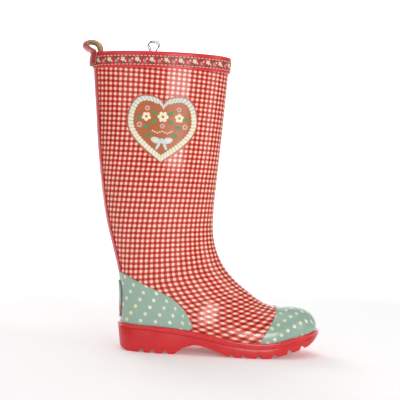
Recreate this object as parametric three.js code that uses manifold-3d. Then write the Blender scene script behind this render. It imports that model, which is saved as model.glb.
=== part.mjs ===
// Women's mid-calf rubber rain boot, right foot, built up in layers on one last.
// Millimetres. X runs from heel to toe, Y to the medial side, Z up from the ground.
import * as THREE from 'three';
import { mergeVertices } from 'three/addons/utils/BufferGeometryUtils.js';
import Module from 'manifold-3d';

const wasm = await Module();
wasm.setup();

// ---------- overall sizes ----------
const foot_length = 277;        // heel back to toe tip of the sole
const foot_width = 104;         // widest sole width, at the ball
const leg_height = 391;         // ground to the rim at the back
const rim_rise = 6;             // how much higher the rim is at the shin

// ---------- the last that the shape tables below were drawn for ----------
const drawn_length = 277;
const drawn_width = 104;
const drawn_height = 391;

// ---------- layers, from the outside in ----------
const gap = 0.3;                // clearance between pieces that touch
const upper_wall = 2.0;         // rubber of the leg and foot
const stiffener_wall = 1.4;     // toe puff, counter, vamp canvas, insole board
const lining_wall = 0.9;        // knitted lining
const lining_gap = 0.5;         // lining to the stiffeners, across the tight bends
const overlay_wall = 1.0;       // toe cap and heel counter skins
const strap_wall = 1.2;         // strip over the back seam
const heart_wall = 0.4;
const badge_wall = 1.6;
const band_wall = 1.5;          // binding round the rim
const ribbon_wall = 0.4;
const thread_wall = 0.5;

// ---------- rim ----------
const band_height = 20;
const band_tail = 8;            // how far the binding turns down inside
const band_roll = 1.5;          // thickness of the binding over the rim
const ribbon_top = 3.4;         // ribbon edge below the rim
const ribbon_bottom = 17.6;
const stitch_height = 1.0;
const stitch_inset = 1.4;       // stitch line to ribbon edge
const strap_width = 26;
const reinforcement_row = 5;    // row of the last where the vamp canvas ends

// ---------- sole ----------
const sole_edge = 3.5;          // how far the sole stands out past the upper
const foxing_proud = 0.8;
const foxing_depth = 1.5;
const groove_depth = 3.2;
const groove_width = 4.2;
const pocket_inset = 8;         // heel wall round the core
const pocket_floor = 6;         // rubber under the core
const shank_width = 16;
const shank_thick = 1.8;
const lasting_margin = 15;      // how far the upper turns in under the foot
const footbed_thick = 4.5;
const cover_thick = 1.0;
const footbed_play = 0.5;       // clearance round the loose footbed

// ---------- pull loop ----------
const loop_width = 34;
const loop_thick = 1.8;
const loop_tail_outside = 15;
const loop_tail_inside = 13;

// ---------- fold-back clip ----------
const clip_x = 29;              // where it sits along the rim
const clip_length = 32;
const clip_sheet = 0.8;
const clip_reach = 6;           // lips below the rim
const clip_crown = 9.5;         // spine above the rim
const wire = 1.6;
const handle_length = 34;
const handle_bulb = 16.3;
const handle_neck = 7.7;

// ---------- colours ----------
const red = 0xc8161d;
const gingham_red = 0xd9494b;
const mint = 0x9bb8a7;
const brown = 0xa3622f;
const cream = 0xf3e6cf;
const grey = 0x8d8f92;
const steel = 0xb9bcc0;

// ---------- small curve helpers ----------
const clampIndex = (i, n) => Math.max(0, Math.min(n - 1, i));

function catmull(a, b, c, d, t) {
  const m0 = (c - a) / 2;
  const m1 = (d - b) / 2;
  const t2 = t * t;
  const t3 = t2 * t;
  return (2 * t3 - 3 * t2 + 1) * b + (t3 - 2 * t2 + t) * m0 + (3 * t2 - 2 * t3) * c + (t3 - t2) * m1;
}

// value number `key` of a table at the real row number v
function tableAt(rows, key, v) {
  const n = rows.length;
  const i = Math.min(n - 2, Math.max(0, Math.floor(v)));
  const at = (j) => rows[clampIndex(j, n)][key];
  const before = i === 0 ? 2 * at(0) - at(1) : at(i - 1);
  const after = i === n - 2 ? 2 * at(n - 1) - at(n - 2) : at(i + 2);
  return catmull(before, at(i), at(i + 1), after, v - i);
}

// height of a side-view line at x: monotone cubic, so level stretches stay level
function lineAt(points, x) {
  const n = points.length;
  if (x <= points[0][0]) return points[0][1];
  if (x >= points[n - 1][0]) return points[n - 1][1];
  let i = 0;
  while (x > points[i + 1][0]) i += 1;
  const slope = (k) => (points[k + 1][1] - points[k][1]) / (points[k + 1][0] - points[k][0]);
  const tangent = (k) => {
    if (k === 0 || k === n - 1) return 0;
    const p = slope(k - 1);
    const q = slope(k);
    return p * q <= 0 ? 0 : (2 * p * q) / (p + q);
  };
  const h = points[i + 1][0] - points[i][0];
  const t = (x - points[i][0]) / h;
  const t2 = t * t;
  const t3 = t2 * t;
  return (2 * t3 - 3 * t2 + 1) * points[i][1] + (t3 - 2 * t2 + t) * h * tangent(i)
    + (3 * t2 - 2 * t3) * points[i + 1][1] + (t3 - t2) * h * tangent(i + 1);
}

const grade_x = foot_length / drawn_length;
const grade_y = foot_width / drawn_width;
const grade_z = leg_height / drawn_height;
const graded = (points) => points.map(([x, z]) => [x * grade_x, z]);

// ---------- side-view lines, [x, z] ----------
const floor_line = graded([[0, 24.5], [40, 23.5], [75, 21.5], [110, 17.5], [142, 12.6], [180, 10.5],
  [206, 11.3], [232, 15], [252, 19.5], [268, 25], [277, 29]]);
const top_line = graded([[2, 36.5], [25, 36.2], [62, 35], [100, 31.2], [129, 26.2], [151, 21.8],
  [182, 19.6], [203, 20.7], [224, 26], [249, 31.6], [272, 35.6]]);
const ridge_line = graded([[2, 31.4], [35, 30.4], [66, 28], [97, 24.1], [126, 19.4], [151, 15],
  [182, 12.6], [203, 14.2], [224, 19.6], [249, 25.2], [272, 28.8]]);
const bottom_line = graded([[3, 4.2], [13, 0], [72, 0], [85, 9.2], [103, 13.6], [118, 10.6], [134, 5],
  [152, 0], [194, 0], [212, 3.4], [232, 8.6], [254, 14.6], [268, 22.5], [279, 32]]);
const floorAt = (x) => lineAt(floor_line, x);
const topAt = (x) => lineAt(top_line, x);
const ridgeAt = (x) => lineAt(ridge_line, x);
const bottomAt = (x) => lineAt(bottom_line, x);

// ---------- the last ----------
// Each row is a ring round the foot or leg: its front (upper) end, its back (lower) end,
// its half width, how far its widest place is pulled to the back end, how boxy its two
// ends are, and how far its middle lies to the medial side.
const last = [
  // front x, z,   back x, z,  half, low, front, back, side
  [132.0, 415.0, -56.2, 409.0, 44.0, 0.00, 0.95, 0.95, 0.0],
  [130.5, 385.0, -51.6, 379.0, 44.0, 0.00, 0.95, 0.95, 0.0],
  [128.0, 330.0, -45.0, 322.0, 45.0, 0.00, 0.95, 0.95, 0.0],
  [125.2, 275.0, -38.6, 265.0, 45.5, 0.00, 0.95, 0.95, 0.0],
  [122.3, 222.0, -30.0, 208.0, 44.5, 0.00, 0.95, 0.95, 0.0],
  [121.0, 190.0, -22.5, 172.0, 42.0, 0.02, 0.95, 0.95, -0.3],
  [121.8, 163.0, -12.5, 138.0, 39.0, 0.05, 0.95, 0.92, -0.8],
  [127.5, 139.0, -3.0, 106.0, 37.0, 0.06, 0.95, 0.85, -0.9],
  [139.8, 115.6, 2.0, 76.0, 36.4, 0.05, 0.98, 0.74, -1.0],
  [156.8, 97.2, 3.5, 48.0, 36.6, 0.05, 1.00, 0.66, -1.2],
  [172.5, 84.8, 9.0, 19.0, 37.4, 0.08, 1.00, 0.60, -1.4],
  [184.5, 76.2, 44.0, 6.0, 39.0, 0.14, 0.98, 0.56, -1.8],
  [195.0, 70.2, 94.0, 2.0, 42.4, 0.20, 0.96, 0.52, -1.8],
  [206.0, 66.3, 142.0, -3.0, 46.4, 0.24, 0.94, 0.50, -0.8],
  [219.0, 63.7, 182.0, -4.0, 48.5, 0.22, 0.90, 0.50, 0.6],
  [232.5, 64.6, 214.0, -1.0, 47.0, 0.16, 0.84, 0.52, 2.8],
  [246.5, 63.8, 238.0, 6.0, 41.8, 0.10, 0.80, 0.58, 5.0],
  [259.3, 59.6, 255.5, 13.0, 33.0, 0.05, 0.80, 0.66, 6.6],
  [268.6, 50.4, 266.5, 21.0, 21.8, 0.00, 0.86, 0.80, 7.6],
  [274.0, 36.0, 274.0, 36.0, 0.0, 0.00, 1.00, 1.00, 8.0],
];
const last_rows = last.length - 1;
const bottom_softness = 3.4;    // rounding where the sides meet the flat under the foot

// one point of the last; turn is 0 at the front of the ring and half a turn at the back
function lastPoint(v, turn) {
  const at = (key) => tableAt(last, key, v);
  const c = Math.cos(turn);
  const s = Math.sin(turn);
  const reach = -c + at(5) * s * s;
  const x = (at(0) + at(2)) / 2 + ((at(2) - at(0)) / 2) * reach;
  const z = (at(1) + at(3)) / 2 + ((at(3) - at(1)) / 2) * reach;
  const boxy = at(6) + (at(7) - at(6)) * (1 - c) / 2;
  const half = Math.max(0, at(4)) * Math.pow(Math.abs(s), boxy) * Math.sign(s);
  const gx = x * grade_x;
  const gz = z > 60 ? 60 + (z - 60) * (leg_height - 60) / (drawn_height - 60) : z;
  const under = floorAt(gx);
  const soft = bottom_softness;
  const over = (gz - under) / soft;
  const lifted = over > 30 ? gz : under + soft * Math.log(1 + Math.exp(over));
  return new THREE.Vector3(gx, (half + at(8)) * grade_y, lifted);
}

function lastNormal(v, turn) {
  const dv = 0.04;
  const dt = 0.04;
  const a = lastPoint(Math.min(last_rows, v + dv), turn).sub(lastPoint(Math.max(0, v - dv), turn));
  const b = lastPoint(v, turn + dt).sub(lastPoint(v, turn - dt));
  return a.cross(b).normalize();
}

// rows and columns of the mesh that every layer shares
const ring_steps = 24;
const row_steps = [1, 1, 1, 1, 2, 2, 2, 2, 2, 2, 2, 1, 1, 1, 1, 1, 1, 2, 2];
const rows = [0];
row_steps.forEach((count, i) => {
  for (let k = 1; k <= count; k += 1) rows.push(i + k / count);
});
const tip_row = rows.pop();
const tip_close = tip_row - 0.16;
rows.push(tip_close);
const turns = Array.from({ length: ring_steps }, (_, i) => (2 * Math.PI * i) / ring_steps);
const base_points = rows.map((v) => turns.map((turn) => lastPoint(v, turn)));
// growing directions, evened out over the neighbours so that deep layers don't fold at tight bends
function evened(field) {
  return field.map((ring, j) => ring.map((normal, i) => {
    const above = field[Math.max(0, j - 1)][i];
    const below = field[Math.min(field.length - 1, j + 1)][i];
    const left = ring[(i + ring_steps - 1) % ring_steps];
    const right = ring[(i + 1) % ring_steps];
    return normal.clone().multiplyScalar(2).add(above).add(below).add(left).add(right).normalize();
  }));
}
const base_normals = evened(rows.map((v) => turns.map((turn) => lastNormal(v, turn))));
const tip_point = lastPoint(tip_row, 0);

// ---------- solids ----------
function solidFrom(positions, indices) {
  const mesh = new wasm.Mesh({
    numProp: 3,
    vertProperties: new Float32Array(positions),
    triVerts: new Uint32Array(indices),
  });
  return new wasm.Manifold(mesh);
}

function solidFromGeometry(geometry) {
  const bare = geometry.clone();
  bare.deleteAttribute('normal');
  bare.deleteAttribute('uv');
  const merged = mergeVertices(bare, 1e-4);
  return solidFrom(merged.attributes.position.array, merged.index.array);
}

// the last grown outwards by d(row, turn), or shrunk when d is negative
function lastSolid(offset) {
  const d = typeof offset === 'function' ? offset : () => offset;
  const positions = [];
  const indices = [];
  const n = ring_steps;
  rows.forEach((v, j) => {
    turns.forEach((turn, i) => {
      const p = base_points[j][i].clone().addScaledVector(base_normals[j][i], d(v, turn, base_points[j][i]));
      positions.push(p.x, p.y, p.z);
    });
  });
  const top = positions.length / 3;
  const mid = base_points[0].reduce((sum, p) => sum.add(p), new THREE.Vector3()).divideScalar(n);
  positions.push(mid.x, mid.y, mid.z);
  const tip = tip_point.clone();
  tip.x += d(tip_row, 0, tip_point);
  positions.push(tip.x, tip.y, tip.z);
  const end = (rows.length - 1) * n;
  for (let i = 0; i < n; i += 1) {
    const k = (i + 1) % n;
    indices.push(top, i, k);
    for (let j = 0; j < rows.length - 1; j += 1) {
      const a = j * n + i;
      const b = j * n + k;
      const c = a + n;
      const e = b + n;
      indices.push(a, e, b, a, c, e);
    }
    indices.push(end + k, end + i, top + 1);
  }
  return solidFrom(positions, indices);
}

const shells = new Map();
function grown(offset) {
  if (!shells.has(offset)) shells.set(offset, lastSolid(offset));
  return shells.get(offset);
}
const between = (inside, outside) => grown(outside).subtract(grown(inside));

// a prism whose [x, z] outline runs straight across from y0 to y1
const far = 300;
function across(points, y0 = -far, y1 = far) {
  const shape = new THREE.Shape(points.map(([x, z]) => new THREE.Vector2(x, z)));
  const body = new THREE.ExtrudeGeometry(shape, { depth: y1 - y0, bevelEnabled: false });
  body.rotateX(Math.PI / 2);
  body.translate(0, y1, 0);
  return solidFromGeometry(body);
}

// a prism whose [x, y] outline runs straight up from z0 to z1
function upright(points, z0, z1) {
  const shape = new THREE.Shape(points.map(([x, y]) => new THREE.Vector2(x, y)));
  const body = new THREE.ExtrudeGeometry(shape, { depth: z1 - z0, bevelEnabled: false });
  body.translate(0, 0, z0);
  return solidFromGeometry(body);
}

function smoothCurve(points, count) {
  const curve = new THREE.CatmullRomCurve3(points.map(([x, z]) => new THREE.Vector3(x, z, 0)));
  return curve.getPoints(count).map((p) => [p.x, p.y]);
}

// everything between two side-view lines, from x0 to x1
function betweenLines(low, high, x0, x1, step = 8, y0 = -far, y1 = far) {
  const count = Math.max(2, Math.ceil((x1 - x0) / step));
  const xs = Array.from({ length: count + 1 }, (_, i) => x0 + ((x1 - x0) * i) / count);
  const lower = xs.map((x) => [x, low(x)]);
  const upper = xs.map((x) => [x, high(x)]).reverse();
  return across([...lower, ...upper], y0, y1);
}

// ---------- assembling ----------
const group = new THREE.Group();
group.name = 'rubber_rain_boot';

function add(name, solid, colour, roughness = 0.5, metalness = 0) {
  const mesh = solid.getMesh();
  const geometry = new THREE.BufferGeometry();
  geometry.setAttribute('position', new THREE.BufferAttribute(new Float32Array(mesh.vertProperties), 3));
  geometry.setIndex(new THREE.BufferAttribute(new Uint32Array(mesh.triVerts), 1));
  geometry.computeVertexNormals();
  const material = new THREE.MeshStandardMaterial({ color: colour, roughness, metalness });
  const node = new THREE.Mesh(geometry, material);
  node.name = name;
  group.add(node);
}

// ---------- rim plane ----------
const rim_front_x = 131.4 * grade_x;
const rim_back_x = -55 * grade_x;
const rimAt = (x) => leg_height + (rim_rise * (x - rim_back_x)) / (rim_front_x - rim_back_x);
const belowRim = (drop) => betweenLines(() => -50, (x) => rimAt(x) - drop, -far, far, far);
const rimSlab = (deep, shallow) => betweenLines((x) => rimAt(x) - deep, (x) => rimAt(x) - shallow,
  -far, far, far);

// ---------- offsets of the layers ----------
const upper_in = -upper_wall;
const stiff_out = upper_in - gap;
const stiff_in = stiff_out - stiffener_wall;
const leg_lining_out = upper_in - gap;
const foot_lining_out = stiff_in - lining_gap;

// the vamp canvas and everything below it sit under this slanted line
const canvas_front = lastPoint(reinforcement_row, 0);
const canvas_back = lastPoint(reinforcement_row, Math.PI);
const canvas_drop = 3;          // canvas edge below that row
const reinforcementAt = (x) => canvas_back.z - canvas_drop + (canvas_front.z - canvas_back.z)
  * (x - canvas_back.x) / (canvas_front.x - canvas_back.x);
const liningOffset = (v) => (v > reinforcement_row - 0.6 ? foot_lining_out : leg_lining_out);
const lining_out = lastSolid(liningOffset);
const lining_in = lastSolid((v) => liningOffset(v) - lining_wall);
const cavity_skin = foot_lining_out - lining_wall;

// ---------- plan outline of the sole ----------
const outline_points = [[0, 0], [8.5, -23], [38, -37.2], [90, -42.6], [145, -49.8], [184, -52],
  [219, -48.6], [250, -36], [269, -17], [277, 8], [269, 33], [250, 46.6], [219, 52.4], [184, 50.8],
  [145, 46], [90, 39.6], [38, 35.2], [8.5, 21.5]];
const outline_count = 60;
const outline = new THREE.CatmullRomCurve3(
  outline_points.map(([x, y]) => new THREE.Vector3(x * grade_x, y * grade_y, 0)), true, 'centripetal')
  .getPoints(outline_count).slice(0, outline_count);

function outlineAt(grow) {
  return outline.map((p, i) => {
    const a = outline[(i + outline_count - 1) % outline_count];
    const b = outline[(i + 1) % outline_count];
    const side = new THREE.Vector2(b.y - a.y, a.x - b.x).normalize();
    const amount = typeof grow === 'function' ? grow(p.x) : grow;
    return [p.x + side.x * amount, p.y + side.y * amount];
  });
}
const outlineUp = (grow, z0 = -20, z1 = 90) => upright(outlineAt(grow), z0, z1);

// sides lean in below the ridge, most at the heel and under the toe
const lean_line = graded([[0, 5], [40, 3.5], [90, 3], [150, 1.8], [200, 1.8], [240, 5], [277, 9]]);
function soleBlank() {
  const foot = outlineAt((x) => -lineAt(lean_line, x));
  const edge = outlineAt(0);
  const positions = [];
  const indices = [];
  const n = outline_count;
  const levels = [
    foot.map(([x, y]) => [x, y, -4]),
    edge.map(([x, y]) => [x, y, ridgeAt(x)]),
    edge.map(([x, y]) => [x, y, 70]),
  ];
  levels.forEach((level) => level.forEach((p) => positions.push(...p)));
  positions.push(foot_length / 2, 0, -4, foot_length / 2, 0, 70);
  for (let i = 0; i < n; i += 1) {
    const k = (i + 1) % n;
    for (let j = 0; j < 2; j += 1) {
      const a = j * n + i;
      const b = j * n + k;
      indices.push(a, b + n, a + n, a, b, b + n);
    }
    indices.push(3 * n, k, i);
    indices.push(3 * n + 1, 2 * n + i, 2 * n + k);
  }
  return solidFrom(positions, indices);
}

// ---------- outsole ----------
const heel_grooves = [31, 45.5, 62].map((x) => x * grade_x);
const ball_grooves = [150, 166, 186, 207, 228, 247].map((x) => x * grade_x);
const sole_x0 = -15;
const sole_x1 = foot_length + 15;

function treadLine() {
  const points = [];
  const step = 5;
  const grooves = [...heel_grooves, ...ball_grooves];
  for (let x = sole_x0; x <= sole_x1; x += step) {
    if (!grooves.some((g) => Math.abs(x - g) <= groove_width / 2 + 0.5)) points.push([x, bottomAt(x)]);
  }
  grooves.forEach((g) => {
    const low = bottomAt(g);
    const a = g - groove_width / 2;
    const b = g + groove_width / 2;
    points.push([a, bottomAt(a)], [a + 0.7, low + groove_depth], [b - 0.7, low + groove_depth], [b, bottomAt(b)]);
  });
  return points.sort((p, q) => p[0] - q[0]);
}

const tread = treadLine();
const top_samples = tread.map(([x]) => x).filter((x, i, all) => i === 0 || x - all[i - 1] > 2.5);
const sole_side = across([...tread, ...top_samples.map((x) => [x, topAt(x)]).reverse()]);
const heel_pocket_x0 = 10 * grade_x;
const heel_pocket_x1 = 74 * grade_x;
const shank_x0 = heel_pocket_x1 + 5;
const shank_x1 = 150 * grade_x;
const shank_side = -1.5;
const seat = grown(gap);

const pocket = (inset, play) => outlineUp(-inset - play).intersect(betweenLines(() => pocket_floor + play,
  () => 60, heel_pocket_x0 + play, heel_pocket_x1 - play, 80));
const shankSlot = (play, high) => betweenLines((x) => floorAt(x) - gap - shank_thick - gap + play, high,
  shank_x0 + play, shank_x1 - play, 9, shank_side - shank_width / 2 - gap + play,
  shank_side + shank_width / 2 + gap - play);
const rebate = outlineUp(6).subtract(outlineUp(-foxing_depth - gap))
  .intersect(betweenLines(ridgeAt, () => 80, sole_x0, sole_x1, 6));

const outsole = soleBlank().intersect(sole_side).subtract(seat).subtract(rebate)
  .subtract(pocket(pocket_inset, 0)).subtract(shankSlot(0, () => 60));
add('outsole', outsole, red, 0.42);

const foxing = outlineUp(foxing_proud).subtract(outlineUp(-foxing_depth))
  .intersect(betweenLines((x) => ridgeAt(x) + gap, topAt, sole_x0, sole_x1, 6)).subtract(seat);
add('foxing_strip', foxing, red, 0.36);

add('heel_core', pocket(pocket_inset, gap).subtract(seat), 0xe8e2d2, 0.9);
const shank = shankSlot(gap, (x) => floorAt(x) - gap).subtract(seat);
add('shank', shank, steel, 0.35, 1);

// ---------- upper, filler and insole board ----------
const underfoot = (inset) => outlineUp(-inset)
  .intersect(betweenLines(() => 0, (x) => floorAt(x) + 10, sole_x0, sole_x1, 20));
const margin_edge = sole_edge + lasting_margin;
const upper = between(upper_in, 0).intersect(belowRim(0)).subtract(underfoot(margin_edge));
add('upper', upper, gingham_red, 0.25);
add('bottom_filler', between(upper_in, 0).intersect(underfoot(margin_edge + gap)), 0x9c8f7a, 0.95);

// layer of the stiffeners: the insole board below, three pieces round the foot
const stiff_layer = between(stiff_in, stiff_out);
const board_edge = 8;           // board stops this far inside the sole edge
add('insole_board', stiff_layer.intersect(underfoot(sole_edge + board_edge + gap)), 0xb79b6c, 0.95);

const foot_layer = stiff_layer.subtract(underfoot(sole_edge + board_edge))
  .intersect(betweenLines(() => -20, reinforcementAt, -far, far, far));
const capLine = [[219, 80], [203, 52], [186, 20], [177, 2]].map(([x, z]) => [x * grade_x, z]);
const puff_back = 6;            // the puff reaches this far behind the cap edge
const puffZone = (shift) => across([...capLine.map(([x, z]) => [x - puff_back + shift, z]),
  [far * 1.5, 2], [far * 1.5, 80]]);
const counterLine = [[-40, 106], [-2, 103.5], [17.4, 94.8], [38, 86.3], [57.8, 78], [71.5, 70],
  [83, 59.5], [91.5, 47], [97.6, 34], [101, 8]].map(([x, z]) => [x * grade_x, z]);
const counterZone = (shift) => across([...counterLine.map(([x, z]) => [x + shift * 0.7, z + shift * 0.7]),
  [-40, 8]]);
const counter_grow = 4;         // the stiffener reaches past the counter skin
add('toe_puff', foot_layer.intersect(puffZone(gap)), 0xd8cfba, 0.9);
add('counter_stiffener', foot_layer.intersect(counterZone(counter_grow)), 0xd8cfba, 0.9);
add('vamp_reinforcement', foot_layer.subtract(puffZone(0)).subtract(counterZone(counter_grow + 0.6)),
  0xc9bb9a, 0.95);

// ---------- lining ----------
add('lining', lining_out.subtract(lining_in).intersect(belowRim(0)), 0xe9dcc4, 0.95);

// ---------- footbed ----------
const bed_corner = 3;           // keeps the bed clear of the bend into the lining's sides
const bed_inset = sole_edge - cavity_skin + footbed_play + bed_corner;
const bed_low = -cavity_skin + footbed_play;
const bedLayer = (low, high) => outlineUp(-bed_inset).intersect(betweenLines((x) => floorAt(x) + low,
  (x) => floorAt(x) + high, sole_x0, sole_x1, 12));
add('footbed', bedLayer(-5, bed_low + footbed_thick).intersect(grown(cavity_skin - footbed_play)),
  0x6f7478, 0.95);
const cover_low = bed_low + footbed_thick + gap;
add('footbed_cover', bedLayer(cover_low, cover_low + cover_thick), 0xe3cdb4, 0.95);

// ---------- skins on the outside ----------
const aboveSole = betweenLines((x) => topAt(x) + gap, () => 500, -far, 400, 9);
const overlay = between(gap, gap + overlay_wall).intersect(aboveSole);
const capZone = across([...capLine, [far * 1.5, 2], [far * 1.5, 80]]);
add('toe_cap', overlay.intersect(capZone), mint, 0.35);
add('heel_counter', overlay.intersect(counterZone(0)), mint, 0.35);

const badge_low = 42;
const badge_high = 92;
const badge_width = 24;
const badge_depth = 14;
const badgeOutline = [];
for (let i = 0; i < 20; i += 1) {
  const a = (2 * Math.PI * i) / 20;
  const c = Math.cos(a);
  const s = Math.sin(a);
  badgeOutline.push([Math.sign(c) * Math.pow(Math.abs(c), 0.6) * badge_width / 2,
    (badge_low + badge_high) / 2 + Math.sign(s) * Math.pow(Math.abs(s), 0.6) * (badge_high - badge_low) / 2]);
}
function lengthways(points, x0, x1) {
  const shape = new THREE.Shape(points.map(([y, z]) => new THREE.Vector2(y, z)));
  const body = new THREE.ExtrudeGeometry(shape, { depth: x1 - x0, bevelEnabled: false });
  body.rotateX(Math.PI / 2);
  body.rotateZ(Math.PI / 2);
  body.translate(x0, 0, 0);
  return solidFromGeometry(body);
}
const badge_in = gap + overlay_wall + gap;
const badgeBlock = lengthways(badgeOutline, -60, badge_depth);
add('heel_badge', between(badge_in, badge_in + badge_wall).intersect(badgeBlock), 0x9a9fa0, 0.4);

const strap_half = strap_width / 2;
const strapZone = across([[-90, 50], [20 * grade_x, 50], [20 * grade_x, 500], [-90, 500]], -strap_half, strap_half)
  .subtract(counterZone(gap * 1.5));
add('back_strap', between(gap, gap + strap_wall).intersect(strapZone).intersect(belowRim(band_height + gap)),
  red, 0.4);

// heart on the lateral side
const heart_x = 40.5;
const heart_z = 60 + (297 - 60) * (leg_height - 60) / (drawn_height - 60); // keeps its place up the leg
const heart_width = 91;
const heart_height = 87;
function heartOutline() {
  const w = heart_width / 2;
  const h = heart_height / 2;
  const path = new THREE.Path();
  path.moveTo(0, -1.04 * h);
  path.bezierCurveTo(0.34 * w, -0.74 * h, w, -0.36 * h, w, 0.2 * h);
  path.bezierCurveTo(w, 0.62 * h, 0.82 * w, 0.96 * h, 0.5 * w, 0.96 * h);
  path.bezierCurveTo(0.26 * w, 0.96 * h, 0.06 * w, 0.86 * h, 0, 0.7 * h);
  const right = path.getPoints(9).map((p) => [p.x, p.y]);
  const left = right.slice(1, -1).map(([x, y]) => [-x, y]).reverse();
  return [...right, ...left].map(([x, y]) => [x + heart_x * grade_x, y + heart_z]);
}
add('heart_patch', between(gap, gap + heart_wall).intersect(across(heartOutline(), -far, 0)), brown, 0.45);

// ---------- rim ----------
const lining_face = leg_lining_out - lining_wall;
const band_in = lining_face - gap - overlay_wall;
const band_out = gap + band_wall;
const rim_band = between(band_in, band_out).intersect(rimSlab(band_height, -band_roll - gap))
  .subtract(between(lining_face - gap, gap).intersect(belowRim(-gap)))
  .subtract(grown(-1).intersect(belowRim(band_tail)));
add('rim_band', rim_band, red, 0.4);

const ribbon_in = band_out + gap;
const ribbon_out = ribbon_in + ribbon_wall;
add('rim_ribbon', between(ribbon_in, ribbon_out).intersect(rimSlab(ribbon_bottom, ribbon_top)), cream, 0.5);
const thread_in = ribbon_out + gap;
const thread_out = thread_in + thread_wall;
const stitchRow = (drop) => between(thread_in, thread_out)
  .intersect(rimSlab(drop + stitch_height / 2, drop - stitch_height / 2));
add('stitch_row_top', stitchRow(ribbon_top + stitch_inset), cream, 0.7);
add('stitch_row_bottom', stitchRow(ribbon_bottom - stitch_inset), cream, 0.7);

// ---------- pull loop ----------
const loop_row = 0.8;           // place of the rim between the first rows of the last

// the ring of mesh points at the rim, from one side of the back seam to the other
const back_ring = turns.map((turn, i) => {
  const blend = (list) => list[0][i].clone().lerp(list[1][i], loop_row);
  return { point: blend(base_points), normal: blend(base_normals) };
}).filter((place) => place.point.x < 0).sort((p, q) => p.point.y - q.point.y);

// the place on the back of the rim that lies y to the side
function rimBack(y) {
  let i = 0;
  while (i < back_ring.length - 2 && back_ring[i + 1].point.y < y) i += 1;
  const t = (y - back_ring[i].point.y) / (back_ring[i + 1].point.y - back_ring[i].point.y);
  const point = back_ring[i].point.clone().lerp(back_ring[i + 1].point, t);
  const normal = back_ring[i].normal.clone().lerp(back_ring[i + 1].normal, t);
  return { point, out: new THREE.Vector2(normal.x, normal.y) };
}
function strapColumns(half_width) {
  const inner = back_ring.map((place) => place.point.y).filter((y) => Math.abs(y) < half_width - 1);
  return [-half_width, ...inner, half_width];
}

// a strap whose section is a path of [outwards, up] points; it follows the curved back of the
// rim where it is sewn on and flattens towards the top of the loop
function strapSolid(path, half_width, thick, count) {
  const curve = new THREE.CatmullRomCurve3(path.map(([u, z]) => new THREE.Vector3(u, z, 0)));
  const centre = curve.getPoints(count);
  const rings = centre.map((p, i) => {
    const a = centre[Math.max(0, i - 1)];
    const b = centre[Math.min(count, i + 1)];
    const side = new THREE.Vector2(b.y - a.y, a.x - b.x).normalize().multiplyScalar(thick / 2);
    if (i === 0 || i === count) side.set(Math.sign(side.x) * thick / 2, 0);
    return [[p.x + side.x, p.y + side.y], [p.x - side.x, p.y - side.y]];
  });
  const section = [...rings.map((r) => r[0]), ...rings.map((r) => r[1]).reverse()];
  const n = section.length;
  const positions = [];
  const indices = [];
  const middle_back = rimBack(0).point;
  const columns = strapColumns(half_width);
  columns.forEach((y) => {
    const { point, out } = rimBack(y);
    section.forEach(([u, z]) => {
      const lift = Math.min(1, Math.max(0, (z - 2) / 11));
      const dir = out.clone().lerp(new THREE.Vector2(-1, 0), lift);
      const x = point.x + (middle_back.x - point.x) * 0.2 * lift + dir.x * u;
      positions.push(x, point.y + dir.y * u, rimAt(point.x) + z);
    });
  });
  for (let j = 0; j < columns.length - 1; j += 1) {
    for (let i = 0; i < n; i += 1) {
      const k = (i + 1) % n;
      const a = j * n + i;
      const b = j * n + k;
      indices.push(a, b, b + n, a, b + n, a + n);
    }
  }
  const end = (columns.length - 1) * n;
  for (let i = 0; i < count; i += 1) {
    const [p, q, r, t] = [i, i + 1, n - 2 - i, n - 1 - i];
    indices.push(p, r, q, p, t, r);
    indices.push(end + p, end + q, end + r, end + p, end + r, end + t);
  }
  const solid = solidFrom(positions, indices);
  if (solid.volume() > 0) return solid;
  const flipped = [];
  for (let i = 0; i < indices.length; i += 3) flipped.push(indices[i], indices[i + 2], indices[i + 1]);
  return solidFrom(positions, flipped);
}

const tail_play = 0.25;
const tail_out = thread_out + gap + loop_thick / 2 + 2 * tail_play;
const tail_in = band_in - gap - loop_thick / 2 - tail_play;
const loop_base = band_roll + gap + 0.6;
const loopPath = [[tail_in, -loop_tail_inside], [tail_in, -loop_tail_inside / 2], [tail_in, loop_base],
  [tail_in + 0.9, 7.2], [-2, 12.1], [3.8, 15.1], [9.8, 15.6], [14.6, 13.8], [15, 9.4], [10.6, 4.9],
  [tail_out, loop_base], [tail_out, -loop_tail_outside / 2], [tail_out, -loop_tail_outside]];
add('pull_loop', strapSolid(loopPath, loop_width / 2, loop_thick, 24), red, 0.45);

// ---------- fold-back clip on the medial side of the rim ----------
function rimSide(x) {
  let low = 0;
  let high = Math.PI;
  const v = loop_row;
  for (let i = 0; i < 40; i += 1) {
    const mid = (low + high) / 2;
    if (lastPoint(v, mid).x > x) low = mid;
    else high = mid;
  }
  return { point: lastPoint(v, low), normal: lastNormal(v, low) };
}
const clip_spot = rimSide(clip_x * grade_x);
const clip_turn = Math.atan2(-clip_spot.normal.x, clip_spot.normal.y);
const wall_bend = 160;          // radius of the rim, seen from above, where the clip sits
const wall_sag = clip_length ** 2 / (8 * wall_bend); // how far the curved wall leaves the straight jaw
const jaw_out = thread_out + gap + 0.2;
const jaw_in = band_in - gap - wall_sag;
const jaw_mid = (jaw_out + jaw_in) / 2;
const jaw_half = (jaw_out - jaw_in) / 2;
const crown_half = jaw_half + 0.15;
const curl_bore = wire / 2 + gap + 0.1;
const curl_radius = curl_bore + 0.6;
const curl_at = jaw_half + clip_sheet + 1.4;
const curl_from = 10.3;         // curls hold the wire outside this, either side of the middle

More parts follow.
